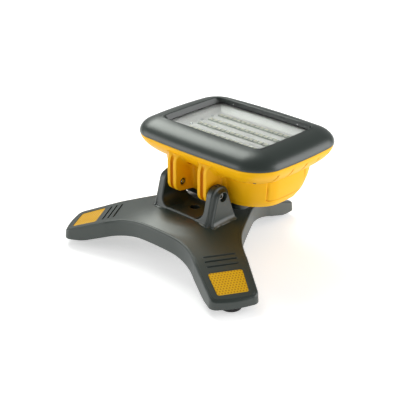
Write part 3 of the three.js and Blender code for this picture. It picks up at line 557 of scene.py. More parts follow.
def star_ring():
    """The base's whole outline and its outward normals, as closed loops that run anticlockwise."""
    mirrored = LEG_EDGE[::-1] * [1, -1]
    leg = np.vstack([mirrored[::-1][:-1], LEG_EDGE[::-1]])
    # one leg runs from the waist before it, out along its -s edge, over the tip and back along its +s edge
    loop = np.vstack([turn_z(np.column_stack([leg, np.zeros(len(leg))]), a)[:-1, :2] for a in LEG_ANGLES])
    return loop, outline_normals(loop), len(leg) - 1


STAR, STAR_NORMALS, LEG_COUNT = star_ring()


def star(inset):
    """The base's outline drawn in by an inset."""
    return STAR - STAR_NORMALS * inset


def leg_share(x, y):
    """The distance that the crown's height goes by.

    It is the distance from the hub's axis at first and the distance along the nearest leg further out. The
    share of the second grows as 3 t^2 - 2 t^3.
    """
    r = np.hypot(x, y)
    along = np.max([x * math.cos(math.radians(a)) + y * math.sin(math.radians(a)) for a in LEG_ANGLES], 0)
    share = np.clip((r - CROWN_ROUND) / CROWN_BLEND, 0, 1)
    share = share * share * (3 - 2 * share)
    return r * (1 - share) + along * share


def on_crown(grid, drop=0.0):
    """A grid of (x, y) points laid on the crown, lowered by a drop."""
    z = crown_height(leg_share(grid[..., 0], grid[..., 1])) - drop
    return np.concatenate([grid, z[..., None]], -1)


PANEL_NEAR = REACH - 41.4  # the reflectors' recesses along the legs
PANEL_FAR = REACH - 8.5
PANEL_MIDDLE = (REACH - 25.0, 0.0)
RECESS_HALF = (21.6, 19.2)  # half widths at the near and the far end
RECESS_LIP = 0.5
RECESS_DEEP = 1.9


def trapezoid(near, far, near_half, far_half, corner, arc, straight):
    """A rounded trapezoid about a leg's middle line."""
    return rounded([(near, -near_half, corner), (far, -far_half, corner), (far, far_half, corner),
                    (near, near_half, corner)], arc=arc, straight=straight)


def recess_outline(inset):
    """The reflector recess in the leg's frame, drawn in by an inset."""
    return trapezoid(PANEL_NEAR + inset, PANEL_FAR - inset, RECESS_HALF[0] - inset, RECESS_HALF[1] - inset,
                     3, 10, 6)


def crown_skin(skin, inset, drop, outside, turned):
    """The crown over one inset outline: hub, grooved stretch and end of each leg, lowered by a drop.

    Hub points run along rays from the hub's axis, a leg's end along rays from the reflector's middle.
    Only the outside has the grooves and the reflectors' recesses.
    """
    ring = star(inset)
    across = np.linspace(-1, 1, 41)
    centre = np.array(PANEL_MIDDLE)

    def level(grid, deep):
        return np.concatenate([grid, (crown_height(grid[..., 0]) - deep)[..., None]], -1)

    hub_edge = []
    for i, angle in enumerate(LEG_ANGLES):

        def back(grid, angle=angle):
            return turn_z(grid.reshape(-1, 3), angle).reshape(grid.shape)

        own = turn_z(np.column_stack([ring, np.zeros(len(ring))]), -angle)[:, :2]
        begin = i * LEG_COUNT
        low = own[begin + STRIP_FROM: begin + STRIP_TO]  # the -s edge of the strip
        grid_r = np.repeat(low[:, :1], len(across), 1)
        grid_s = -low[:, 1:] * across
        z = crown_height(grid_r) - drop
        if outside:
            for g in GROOVES:
                over = np.clip((GROOVE_WIDE - np.abs(grid_r - g)) / 0.3, 0, 1)
                z = z - GROOVE_DEEP * over * np.clip((GROOVE_HALF - np.abs(grid_s)) / 0.5, 0, 1)
        strip = np.stack([grid_r, grid_s, z], -1)
        skin.add(back(strip), turned=turned)
        tip = own[begin + STRIP_TO - 1: begin + LEG_COUNT - STRIP_TO + 2]
        boundary = np.vstack([tip, strip[-1][::-1][1:-1, :2]])
        rays = np.arctan2(*(boundary - centre).T[::-1])
        hole = at_angles(recess_outline(-RECESS_LIP if outside else 8.0), centre, rays)
        flat = level(between(hole, boundary, np.linspace(0, 1, 16)), drop)
        skin.add(back(flat), around=True, turned=not turned)
        middle = np.repeat(centre[None], len(rays), 0)
        if outside:
            lip = [(-RECESS_LIP, 0.0), (-0.25, 0.08), (-0.05, 0.35), (0.0, RECESS_DEEP)]
            rows = [level(at_angles(recess_outline(inward), centre, rays), deep) for inward, deep in lip]
            skin.add(back(np.array([*rows, level(middle, RECESS_DEEP)])), around=True, turned=turned)
        else:
            skin.add(back(level(between(middle, hole, np.linspace(0, 1, 6)), drop)), around=True,
                     turned=not turned)
        root = turn_z(strip[0], angle)[:, :2]
        hub_edge += [ring[begin: begin + STRIP_FROM], root,
                     ring[begin + LEG_COUNT - STRIP_FROM + 1: begin + LEG_COUNT]]
    edge = np.vstack(hub_edge)
    inner = edge / np.linalg.norm(edge, axis=1)[:, None] * (EYE + 0.6)
    hub = between(inner, edge, np.linspace(0, 1, 60) ** 1.15)
    skin.add(on_crown(hub, drop), around=True, turned=not turned)


EDGE_BEAD = 3.5  # how far in from the edge the fine line along the crown's border lies
CROWN_INSET = EDGE_BEAD + 0.3  # where the crown's skin ends and the rim's begins
DRAFT = 0.7  # how far the skirt stands out at its foot
FOOT_ROUND = 0.8  # radius at the skirt's foot


def rim_skin(skin):
    """The line and rolled top edge, the skirt, its lower edge and the wall behind it, along the outline.

    The top edge and the skirt's foot are quarter circles, and the skirt is straight between them.
    """
    rows = [on_crown(star(CROWN_INSET))]
    for inward, deep in ((0, 0.08), (0.25, 0.5), (0.6, 0.5), (0.8, 0.1)):
        rows.append(on_crown(star(EDGE_BEAD - inward), deep))
    for angle in np.radians(np.linspace(90, 0, 8)):
        rows.append(on_crown(star(TOP_EDGE * (1 - math.cos(angle))), TOP_EDGE * (1 - math.sin(angle))))
    top = rows[-1][:, 2]
    low = skirt_height(np.hypot(*STAR.T))
    for share in np.linspace(0, 1, 9)[1:]:
        rows.append(np.column_stack([star(-DRAFT * share), top + (low + FOOT_ROUND - top) * share]))
    for turn in np.radians([30, 60, 90]):
        inset = -DRAFT + FOOT_ROUND * (1 - math.cos(turn))
        rows.append(np.column_stack([star(inset), low + FOOT_ROUND * (1 - math.sin(turn))]))
    rows.append(np.column_stack([star(SHELL_WALL - DRAFT), low]))
    rows.append(on_crown(star(SHELL_WALL), SHELL_WALL))
    skin.add(np.array(rows), around=True)


BOSS = 12.5  # outer radius of the tube under the hub that holds the thread bush
BUSH_RADIUS = (bush_high[0] - bush_low[0]) / 2


def base_skin():
    """The base moulding: the crown's outside and inside, the rim between them and the hub's tube."""
    skin = Skin()
    crown_skin(skin, CROWN_INSET, 0.0, True, False)
    crown_skin(skin, SHELL_WALL, SHELL_WALL, False, True)
    rim_skin(skin)
    low, high = bush_low[2], bush_high[2]
    snug = BUSH_RADIUS + 0.1
    tube = [(EYE + 0.6, CROWN_TOP), (EYE, CROWN_TOP - 0.3), (EYE, high + 0.2), (snug, high + 0.2),
            (snug, low + 0.3), (BUSH_RADIUS + 0.4, low), (BOSS - 0.4, low), (BOSS, low + 0.4),
            (BOSS, CROWN_TOP - 4)]
    skin.add(spin(tube, 96))
    return skin.moved(lambda p: p + [0, HUB_Y, 0])


lay("base_moulding", base_skin(), "base", slate, ["base_shell"], crease=40, outward=False)

# ---- Plates with rolled edges: the yoke's ears and the head's lugs ----------------------------------


def edge_normals(outline):
    """Unit normals of an open outline, on the right of its direction."""
    along = np.gradient(outline, axis=0)
    along /= np.linalg.norm(along, axis=1)[:, None] + 1e-12
    return np.stack([along[:, 1], -along[:, 0]], 1)


def rolled_profile(x0, x1, roll, groove=None, sweep=0.0):
    """(x, depth) points across an edge: a quarter circle at each end, and perhaps a groove between.

    The groove is (middle, half width, depth). A sweep makes the x0 end a hollow quarter circle instead.
    """
    turn = np.radians(np.linspace(0, 90, 7))
    if sweep:
        near = np.stack([x0 + sweep * (1 - np.cos(turn)), -sweep * (1 - np.sin(turn))], 1)
    else:
        near = np.stack([x0 + roll * (1 - np.cos(turn)), roll * (1 - np.sin(turn))], 1)
    far = np.stack([x1 - roll * (1 - np.cos(turn)), roll * (1 - np.sin(turn))], 1)[::-1]
    if groove is None:
        flat = np.stack([np.linspace(near[-1, 0], far[0, 0], 6)[1:-1], np.zeros(4)], 1)
        return np.vstack([near, flat, far])
    middle, half, deep = groove
    steps = np.array([[-half - 0.7, 0], [-half - 0.25, 0.12], [-half, 0.6], [-half + 0.15, deep - 0.6],
                      [-half + 0.6, deep]])
    left = steps + [middle, 0]
    right = steps[::-1] * [-1, 1] + [middle, 0]
    return np.vstack([near, left, right, far])


def edge_strip(outline, profile, lift, fade=None):
    """A plate's edge: the profile across x carried along an outline in y and z. fade scales its groove."""
    x0, x1 = profile[0, 0], profile[-1, 0]
    deep = np.repeat(profile[None, :, 1], len(outline), 0)
    if fade is not None:
        deep[:, 7:-7] *= fade[:, None]
    share = np.clip((profile[:, 0] - x0) / (x1 - x0), 0, 1)
    out = [side * lift(side, *outline.T) for side in (-1, 1)]
    x = profile[None, :, 0] + out[0][:, None] * (1 - share) + out[1][:, None] * share
    flat = outline[:, None, :] - edge_normals(outline)[:, None, :] * deep[..., None]
    return np.concatenate([x[..., None], flat], -1)


def plate(outline, rows, loop, faces, lift, profile, centre, fade=None):
    """A plate in x: its edge, and two sides of straight rows and of rays from a hole to a loop round it.

    faces is (x, hole radius, hole depth) for the -x and the +x side. lift moves a side out, for its fillets.
    """
    skin = Skin().add(edge_strip(outline, profile, lift, fade))
    rays = np.arctan2(loop[:, 1] - centre[1], loop[:, 0] - centre[0])
    for side, (x, radius, sunk) in zip((-1, 1), faces):

        def laid(grid, side=side, x=x):
            return np.concatenate([(x + side * lift(side, grid[..., 0], grid[..., 1]))[..., None], grid], -1)

        rim = np.array(centre) + np.stack([np.cos(rays), np.sin(rays)], 1) * radius
        skin.add(laid(rows))
        skin.add(laid(between(rim, loop, np.linspace(0, 1, 22))), around=True)
        if sunk:
            walls = [laid(rim)]
            for wide, deep in ((0.15, 0.15), (0.0, 0.5), (0.0, sunk)):
                walls.append(at_side(centre + (rim - centre) * (1 + wide / radius), x - side * deep))
            walls.append(at_side(np.repeat([centre], len(rays), 0), x - side * sunk))
            skin.add(np.array(walls), around=True)
    return skin


def mirrored(skin):
    """The same skin on the other side of x = 0."""
    return skin.moved(lambda p: p * [-1, 1, 1])


# ---- Yoke -------------------------------------------------------------------------------------------

EAR_FLOOR = 60.6
EAR_STEP = 44.4  # where the notched barrel ends and the outer plate begins
PLATE_CROWN = 10.4
CHANNEL_FILLET = 13.0
BOLT_POCKET = 6.25
BOLT_SUNK = 9.0
PLATE_FRONT = EAR_FRONT + 4.6
PLATE_BACK = EAR_BACK - 3.4
NOTCHES = (62, 80, 98)  # angles of the notches in the barrel, in degrees
NOTCH_HALF = 1.3
BARREL_GROOVE = (EAR_IN + 5.2, 2.2, 2.2)  # middle, half width and depth of the groove between the notches
CLOSED = 0.02  # the radius left where a plate's side has no hole
HINGE_Y = HINGE[1] - HUB_Y  # the hinge in the base's frame
ARM_ROLL = 2.0
PLATE_ROLL = 1.2
PLATE_SWEEP = 4.0  # radius of the hollow where the outer plate stands on the arm
CROWN_DROP = 3.2  # how far the middle of the ears' round tops lies under the bolt
ARM_FOOT, PLATE_FOOT = 4.0, 6.0  # fillets where the ears' outer sides run into the crown
ARM_FLARE = (38.0, 2.0)  # the x where the crown is taken for a flank's fillet, and its radius
PLATE_FLARE = (48.0, 1.0)
ARM_FROM = 48  # the lowest row of the arm, well under the crown
PLATE_ROWS = (46, 68)
ROW_STEP = 0.45
ACROSS = np.linspace(0, 1, 26)


def swell(height_over, radius):
    """How far a wall's foot stands out where it runs into a surface that falls away under it.

    height_over gives the height over that surface at a distance out from the wall. Each round takes the
    fillet at the height found at the last round's distance.
    """
    out = 0.0
    for _ in range(8):
        out = fillet(height_over(out), radius)
    return out


def ear_view(crown, front, back, levels):
    """Side view of an ear: up the back flank, over the crown round the hinge and down the front flank.

    Both flanks have points at the same levels, so that straight rows can join them. Returns the outline and
    how many points of each flank stand in rows.
    """
    centre = np.array([HINGE_Y, HINGE[2] - CROWN_DROP])

    def tangent(y, sign):
        across, down = y - centre[0], EAR_FOOT - centre[1]
        return math.atan2(down, across) + sign * math.acos(crown / math.hypot(across, down))

    over = np.linspace(tangent(back, 1), tangent(front, -1) + 2 * math.pi, 100)
    arc = centre + crown * np.stack([np.cos(over), np.sin(over)], 1)

    def flank(end, y):
        foot = np.array([y, EAR_FOOT])
        z = np.concatenate([levels, np.linspace(levels[-1], end[1], 9)[1:-1]])
        return foot + (end - foot) * ((z - EAR_FOOT) / (end[1] - EAR_FOOT))[:, None]

    return np.vstack([flank(arc[0], back), arc, flank(arc[-1], front)[::-1]]), len(levels)


def rows_and_loop(outline, count, roll):
    """The rows between the flanks up to their last level, and the loop round what lies above them."""
    inner = outline - edge_normals(outline) * roll
    rows = between(inner[:count], inner[::-1][:count], ACROSS).transpose(1, 0, 2)
    loop = np.vstack([inner[count - 1: len(inner) - count + 1], rows[-1][::-1][1:-1]])
    return rows, loop


def crown_at(x, y):
    """The crown's height under a place near the hub, where it is round."""
    return crown_height(np.hypot(x, y))


def yoke_ear():
    """One ear on the +X side: the notched barrel and its arm, and the smaller plate that stands on it.

    A notch's depth goes by the distance along the round top from the notch's middle.
    """
    steps = CHANNEL_FILLET * (1 - np.cos(np.radians(np.linspace(0, 90, 18))))
    levels = np.concatenate([np.arange(ARM_FROM, EAR_FLOOR, ROW_STEP), EAR_FLOOR + steps])
    levels = np.unique(np.round(levels, 3))
    arm, arm_rows = ear_view(EAR_CROWN, EAR_FRONT, EAR_BACK, levels)
    outer, outer_rows = ear_view(PLATE_CROWN, PLATE_FRONT, PLATE_BACK, np.arange(*PLATE_ROWS, ROW_STEP))
    centre = (HINGE_Y, HINGE[2])

    def flare(line, x, radius):
        out = edge_normals(line)
        grown = swell(lambda far: line[:, 1] - crown_at(x, line[:, 0] + out[:, 0] * far), radius)
        return line + out * grown[:, None]

    def arm_lift(side, y, z):
        if side < 0:
            return fillet(z - EAR_FLOOR, CHANNEL_FILLET)
        return swell(lambda out: z - crown_at(EAR_STEP + out, y), ARM_FOOT)

    def plate_lift(side, y, z):
        if side < 0:
            return 0 * y
        return swell(lambda out: z - crown_at(EAR_OUT + out, y), PLATE_FOOT)

    arm = flare(arm, *ARM_FLARE)
    outer = flare(outer, *PLATE_FLARE)
    angle = np.degrees(np.arctan2(arm[:, 1] - centre[1] + CROWN_DROP, arm[:, 0] - centre[0]))
    near = np.min([np.abs(angle - a) for a in NOTCHES], 0) * math.radians(1) * EAR_CROWN
    notch = np.clip((NOTCH_HALF - near) / 0.5, 0, 1)
    arm_out = EAR_STEP + 0.6
    arm_edge = rolled_profile(EAR_IN, arm_out, ARM_ROLL, BARREL_GROOVE)
    skin = plate(arm, *rows_and_loop(arm, arm_rows, ARM_ROLL), ((EAR_IN, CLOSED, 0), (arm_out, CLOSED, 0)),
                 arm_lift, arm_edge, centre, notch)
    outer_edge = rolled_profile(EAR_STEP + 0.5, EAR_OUT, PLATE_ROLL, sweep=PLATE_SWEEP)
    faces = ((EAR_STEP - 2, CLOSED, 0), (EAR_OUT, BOLT_POCKET, BOLT_SUNK))
    face = plate(outer, *rows_and_loop(outer, outer_rows, PLATE_ROLL), faces, plate_lift, outer_edge, centre)
    return skin.join(face)


def channel_floor():
    """The yoke's floor between the ears: flat, with a round hole through its middle.

    Its front and back edges are quarter circles that run on down into the crown.
    """
    roll = 2.0
    turn = np.radians(np.linspace(0, 90, 8))
    inward, down = roll * (1 - np.sin(turn)), roll * (1 - np.cos(turn))
    front = np.stack([EAR_FRONT + inward[::-1], EAR_FLOOR - down[::-1]], 1)
    back = np.stack([EAR_BACK - inward, EAR_FLOOR - down], 1)
    front = np.vstack([front[:1] - [0.3, 10.0], front])
    back = np.vstack([back, back[-1:] + [0.3, -10.0]])
    half = EAR_IN - CHANNEL_FILLET + 6.0
    x = np.linspace(-half, half, 41)
    reach = EYE + 3.0
    skin = Skin()
    for strip in (np.vstack([front, [[-reach, EAR_FLOOR]]]), np.vstack([[[reach, EAR_FLOOR]], back])):
        grid = np.stack([np.repeat(x[None], len(strip), 0), np.repeat(strip[:, :1], len(x), 1),
                         np.repeat(strip[:, 1:], len(x), 1)], -1)
        skin.add(grid)
    for side in (-1, 1):
        y = np.linspace(-reach, reach, 9)
        run_x = np.linspace(side * reach, side * half, 12)
        grid = np.stack([*np.meshgrid(run_x, y), np.full((9, 12), EAR_FLOOR)], -1)
        skin.add(grid)
    square = rounded([(-reach, -reach, 0.001), (reach, -reach, 0.001), (reach, reach, 0.001),
                      (-reach, reach, 0.001)], arc=2, straight=16)
    rays = np.arctan2(square[:, 1], square[:, 0])
    hole = np.stack([np.cos(rays), np.sin(rays)], 1)
    rows = [at_height(square, EAR_FLOOR)]
    for r, z in ((EYE + 0.6, 0), (EYE + 0.15, -0.15), (EYE, -0.6), (EYE, -3.5)):
        rows.append(at_height(hole * r, EAR_FLOOR + z))
    skin.add(np.array(rows), around=True)
    return skin


def yoke_skin():
    """The yoke: an ear on each side and the floor between them."""
    right = yoke_ear()
    return Skin().join(right, mirrored(right), channel_floor()).moved(lambda p: p + [0, HUB_Y, 0])


lay("yoke", yoke_skin(), "base", slate, ["base_shell"], crease=35)

# ---- Reflectors and feet ----------------------------------------------------------------------------

CELL_PITCH = 3.7
PANEL_GAP = 0.35  # between a reflector and its recess
PANEL_HALF = (21.25, 18.85)
PANEL_SUNK = 0.75  # how far its face lies under the crown
FOOT_AT = REACH - 17


def cell_distance(r, s):
    """The distance from the nearest cell's middle on a triangular lattice, as a share of the pitch."""
    a = r / (CELL_PITCH * math.sqrt(3))
    b = s / CELL_PITCH

    def squared(a, b):
        return ((a - np.round(a)) * math.sqrt(3)) ** 2 + (b - np.round(b)) ** 2

    return np.sqrt(np.minimum(squared(a, b), squared(a + 0.5, b + 0.5)))


def reflector(angle):
    """A reflector in a leg's recess: a plate that follows the crown, its face a honeycomb of low domes.

    Each dome falls with the square of the distance from its cell's middle, and the domes fade at the rim.
    """
    near, far = PANEL_NEAR + PANEL_GAP, PANEL_FAR - PANEL_GAP
    u = np.linspace(-1, 1, 100)
    r = near + (far - near) * np.linspace(0, 1, 84)
    outline = trapezoid(near, far, *PANEL_HALF, 2.8, 12, 2)
    right = outline[(outline[:, 1] > 0)]
    right = right[np.argsort(right[:, 0])]
    half = np.interp(r, right[:, 0], right[:, 1])
    grid_r = np.repeat(r[:, None], len(u), 1)
    grid_s = half[:, None] * u
    dome = 1 - np.clip(cell_distance(grid_r, grid_s) / 0.57, 0, 1) ** 2
    rim = np.minimum((1 - np.abs(u))[None] * half[:, None], np.minimum(grid_r - near, far - grid_r))
    inside = np.clip(rim / 1.2, 0, 1)
    z = crown_height(grid_r) - PANEL_SUNK + 0.32 * dome * inside + 0.25 * (1 - inside)
    top = np.stack([grid_r, grid_s, z], -1)
    edge = np.vstack([top[0], top[1:, -1], top[-1, -2::-1], top[-2:0:-1, 0]])
    skin = Skin().add(top).add(np.array([edge, edge - [0, 0, 1.0]]), around=True)
    return skin.moved(lambda p: turn_z(p, angle) + [0, HUB_Y, 0])


foot_profile = [(0, 1.2), (4.0, 1.2), (4.6, 0.6), (5.4, 0.0), (7.6, 0.0), (8.2, 0.6), (9.0, 0.6), (9.6, 0.0),
                (11.4, 0.0), (12.3, 0.3), (12.8, 1.0), (13.0, 2.0), (13.0, 5.2), (12.7, 5.9), (12.0, 6.2),
                (11.7, 7.6), (0, 7.6)]
for number, leg in enumerate(LEG_ANGLES, 1):
    panel = lay(f"honeycomb_{number}", reflector(leg), "base", reflex,
                [f"reflector_panel_{number}"])
    spots = turn_z(mesh_points(panel) - [0, HUB_Y, 0], -leg)
    mark(panel, "cell", cell_distance(spots[:, 0], spots[:, 1]))

for number, leg in enumerate(LEG_ANGLES, 1):
    centre = turn_z(np.array([[FOOT_AT, 0, 0]]), leg) + [0, HUB_Y, 0]
    lay(f"foot_{number}", Skin().add(spin(foot_profile, 72) + centre, around=True), "base",
        black_rubber, [f"rubber_foot_{number}"])

# ---- Head: outline ----------------------------------------------------------------------------------

ARC_STEPS = 30
SIDE_STEPS = (48, 180)  # along the near and far ends, and along the sides


def pillow(half, near, far, radius, bow, inset=0.0, arc=ARC_STEPS, sides=SIDE_STEPS):
    """A rounded rectangle whose sides bow out in their middles, as a closed loop that runs anticlockwise.

    A side's bow falls from its middle to the corners with the square of the distance along it.
    """
    flat_half, flat_long = half - inset - bow, (far - near) / 2 - inset - bow
    middle = (near + far) / 2
    r = max(radius - inset, 1.5)
    quarter = np.radians(np.linspace(0, 90, arc))
    points = []
    for sx, sy, start in ((1, 1, 0), (-1, 1, 90), (-1, -1, 180), (1, -1, 270)):
        angle = quarter + math.radians(start)
        points.append(np.stack([sx * (flat_half - r) + r * np.cos(angle),
                                sy * (flat_long - r) + r * np.sin(angle)], 1))
        here = points[-1][-1]
        there = here * [-1, 1] if sx == sy else here * [1, -1]
        steps = sides[0] if sx == sy else sides[1]
        points.append(between(here[None], there[None], np.linspace(0, 1, steps + 1)[1:-1])[:, 0])
    x, y = np.vstack(points).T
    return np.stack([x * (1 + bow / flat_half * (1 - (y / flat_long) ** 2)),
                     middle + y * (1 + bow / flat_long * (1 - (x / flat_half) ** 2))], 1)


def head_ring(inset, z, **steps):
    """The head's widest outline, drawn in by an inset, at a height."""
    return at_height(pillow(HEAD_HALF, HEAD_NEAR, HEAD_FAR, HEAD_RADIUS, HEAD_BOW, inset, **steps), z)


def on_hinge(points):
    """Points worked out from the hinge's axis, put where the hinge is."""
    return points + HINGE


# ---- Bezel ------------------------------------------------------------------------------------------

PANE = {"half": 79.0, "near": 28.0, "far": 135.0, "radius": 6.0, "bow": 1.0}
OPENING = {"half": 82.6, "near": 24.8, "far": 135.0, "radius": 9.0, "bow": 1.0}  # the opening at its top
TOP = bezel_high[2] - HINGE[2]
JOIN_LINE = bezel_low[2] - HINGE[2]
SEAT = TOP - 6.4  # what the window rests on
ROLL = 34.0  # how far in from its outline the bezel's roll reaches
BEZEL_WALL = 2.8


def bezel_skin():
    """The bezel: a quarter of an ellipse up from the join, a brow, the wall down to the window, its back."""
    steps = {"arc": 20, "sides": (36, 26)}
    rise = TOP - JOIN_LINE

    def rolled(angle, wall):
        inset = wall + (ROLL - wall) * (1 - math.cos(angle))
        return head_ring(inset, JOIN_LINE + (rise - wall) * math.sin(angle), **steps)

    rows = [head_ring(0.5, JOIN_LINE, **steps), head_ring(0.12, JOIN_LINE + 0.12, **steps)]
    rows += [rolled(angle, 0) for angle in np.radians(np.linspace(1.2, 80, 26))]
    brow = ((2.4, 0), (1.2, -0.05), (0.5, -0.3), (0.1, -0.8), (0, -1.4))
    wall = ((-0.2, 0.3), (-0.3, 0), (4.4, 0), (4.5, -5.6), (6.7, -5.6), (6.9, 1))
    rows += [at_height(pillow(inset=-grow, **OPENING, **steps), TOP + z) for grow, z in brow]
    rows += [at_height(pillow(inset=-grow, **PANE, **steps), SEAT + z) for grow, z in wall]
    rows += [rolled(angle, BEZEL_WALL) for angle in np.radians([60, 40, 20, 0])]
    rows.append(rows[0])
    return Skin().add(np.array(rows), around=True).moved(on_hinge)


lay("window_frame", bezel_skin(), "head", slate, ["bezel"], crease=50)

# ---- Housing ----------------------------------------------------------------------------------------

FLANGE = {"half": 96.0, "near": 12.5, "far": 149.5, "radius": 28.0}
CREASE = 20.0  # the height where the flange's slope meets the box
FLANGE_SWELL = 1.8  # the power that makes the flange steep at the join and flatter towards the crease
BOX = {"half": 94.5, "near": 16.0, "far": 147.0, "radius": 34.0}
BOX_FOOT = -17.5  # where the box's bottom edge starts to turn under
BOX_EDGE = 2.5
HOUSING_WALL = 2.5
BAY_Y = 81.5
BAY_HALF, BAY_LONG = 44.3, 41.3
SIDE_FROM = 70  # points with a larger x lie on the head's +X side
LABEL_LOW, LABEL_HIGH = (37.3, -11.5), (105.3, 21)  # the label's corners, in y and z
LABEL_LEAN = 0.18  # how far its ends lean back for each millimetre down
LABEL_CORNER = 5
LABEL_DEEP = 0.6
BORDER_WIDE = 1.5
BORDER_DEEP = 1.6
LOUVRES = (37.7, 62.5, 88.5, 113.5, 136)  # the far end of each louvre's line, a quarter ellipse
LOUVRE_RUN, LOUVRE_FALL = 6.7, 19.0
LOUVRE_TOP = 39.2
LOUVRE_DEEP = 1.8
POCKETS = [(sx * x, y) for sx in (-1, 1) for x, y in ((82.2, 21.3), (13, 13.9), (82.2, 140.7), (13, 148.1))]
POCKET_HEIGHT = 24.6
POCKET_RADIUS = 3.2
POCKET_DEEP = 1.9
RIB_MIDDLE = 25.95  # the middle of the groove between a lug's two ribs


def soft_box(u, v, low, high, corner, edge):
    """A mask: 1 inside a rounded rectangle, falling to 0 over an edge.

    It goes by the distance from the rectangle drawn in by its corner radius.
    """
    middle, half = (np.array(low) + high) / 2, (np.array(high) - low) / 2 - corner
    du = np.maximum(np.abs(u - middle[0]) - half[0], 0)
    dv = np.maximum(np.abs(v - middle[1]) - half[1], 0)
    return np.clip((corner - np.hypot(du, dv)) / edge, 0, 1)


def flange_mix(z):
    """How far from the head's outline to the flange's the slope has come at a height."""
    return np.clip((JOIN - z) / (JOIN - CREASE), 0, 1) ** FLANGE_SWELL


def flange_near(z):
    """Where the flange's near side stands at a height, in the middle of its width."""
    top = HEAD_NEAR + 0.4
    return top + (FLANGE["near"] - HEAD_NEAR - 0.4) * flange_mix(z)


def label_place(y, z, inset=0.0):
    """A mask of the bare label's place on the +X side. Its ends lean, its top runs out in the crease."""
    low = (LABEL_LOW[0] + inset, LABEL_LOW[1] + inset)
    high = (LABEL_HIGH[0] - inset, LABEL_HIGH[1])
    return soft_box(y - LABEL_LEAN * (CREASE - z), z, low, high, LABEL_CORNER - inset, 0.7)


def lines(p):
    """How deep the narrow lines are: the label's border, the louvres on the flange and the screw pockets.

    A louvre's line follows a quarter ellipse: its depth goes by the distance from the curve, which is the
    ellipse's own value less one, over twice its steepness.
    """
    x, y, z = p[..., 0], p[..., 1], p[..., 2]
    side = x > SIDE_FROM
    border = np.clip(label_place(y, z) - label_place(y, z, BORDER_WIDE), 0, 1) * (z < 19)
    deep = BORDER_DEEP * border * np.clip((56 - y) / 12, 0.3, 1) * side
    for end in LOUVRES:
        u, v = (end - y) / LOUVRE_RUN, (LOUVRE_TOP - z) / LOUVRE_FALL
        away = np.abs(u * u + v * v - 1) / (2 * np.hypot(u / LOUVRE_RUN, v / LOUVRE_FALL) + 1e-9)
        run_out = np.clip((u + 0.05) * LOUVRE_RUN / 1.5, 0, 1) * np.clip(v * LOUVRE_FALL / 3, 0, 1)
        within = run_out * (z > 19.5) * side
        deep = np.maximum(deep, LOUVRE_DEEP * np.clip((1.15 - away) / 0.5, 0, 1) * within)
    for px, py in POCKETS:
        near = np.hypot(x - px, 1.3 * (z - POCKET_HEIGHT))
        within = np.abs(y - py) < 22
        deep = np.maximum(deep, POCKET_DEEP * np.clip((POCKET_RADIUS - near) / 1.2, 0, 1) * within)
    return deep


def dents(p):
    """How deep the housing's wall is pressed in at each point: the label's shallow place and the lines."""
    label = label_place(p[..., 1], p[..., 2]) * (p[..., 0] > SIDE_FROM)
    return np.maximum(LABEL_DEEP * label, lines(p))


def hollow(p):
    """How much a point of the housing lies in a line or in the groove between a lug's ribs, from 0 to 1. It
    sets how much painted shade lies there, and the groove's painted shade fades out towards the groove's
    top.
    """
    x, y, z = p[..., 0], p[..., 1], p[..., 2]
    groove = (np.abs(np.abs(x) - RIB_MIDDLE) < 2.5) & (y < np.minimum(flange_near(z) - 0.5, 12))
    return np.clip(np.maximum(lines(p) / 1.3, 0.75 * groove * np.clip((40 - z) / 14, 0, 1)), 0, 1)


def pressed(grid):
    """A closed grid of rings pushed in along its normals by the dents.

    A normal is the cross product of the steps along the ring and down the rings, turned to point out.
    """
    down = np.gradient(grid, axis=0)
    along = (np.roll(grid, -1, 1) - np.roll(grid, 1, 1)) / 2
    normal = np.cross(along, down)
    normal /= np.linalg.norm(normal, axis=-1)[..., None] + 1e-12
    centre = grid[:, :, :2].mean((0, 1))
    outward = np.sign(((grid[..., :2] - centre) * normal[..., :2]).sum(-1))
    return grid - normal * (outward * dents(grid))[..., None]


def box_ring(z, inset=0.0):
    """The box's ring at a height: its sides and ends draw in towards the bottom, the far end most."""
    places = [-20, -17.5, -10, 5, 20]
    side, near, far = [float(eased(z, places, draws, reach=3.0)) for draws in
                       ([11, 8.2, 5, 1.5, 0], [10.5, 7.5, 5, 2, 0], [19.5, 16, 9, 3.5, 0])]
    ring = pillow(BOX["half"] - side, BOX["near"] + near, BOX["far"] - far, BOX["radius"], HEAD_BOW, inset)
    return at_height(ring, z)


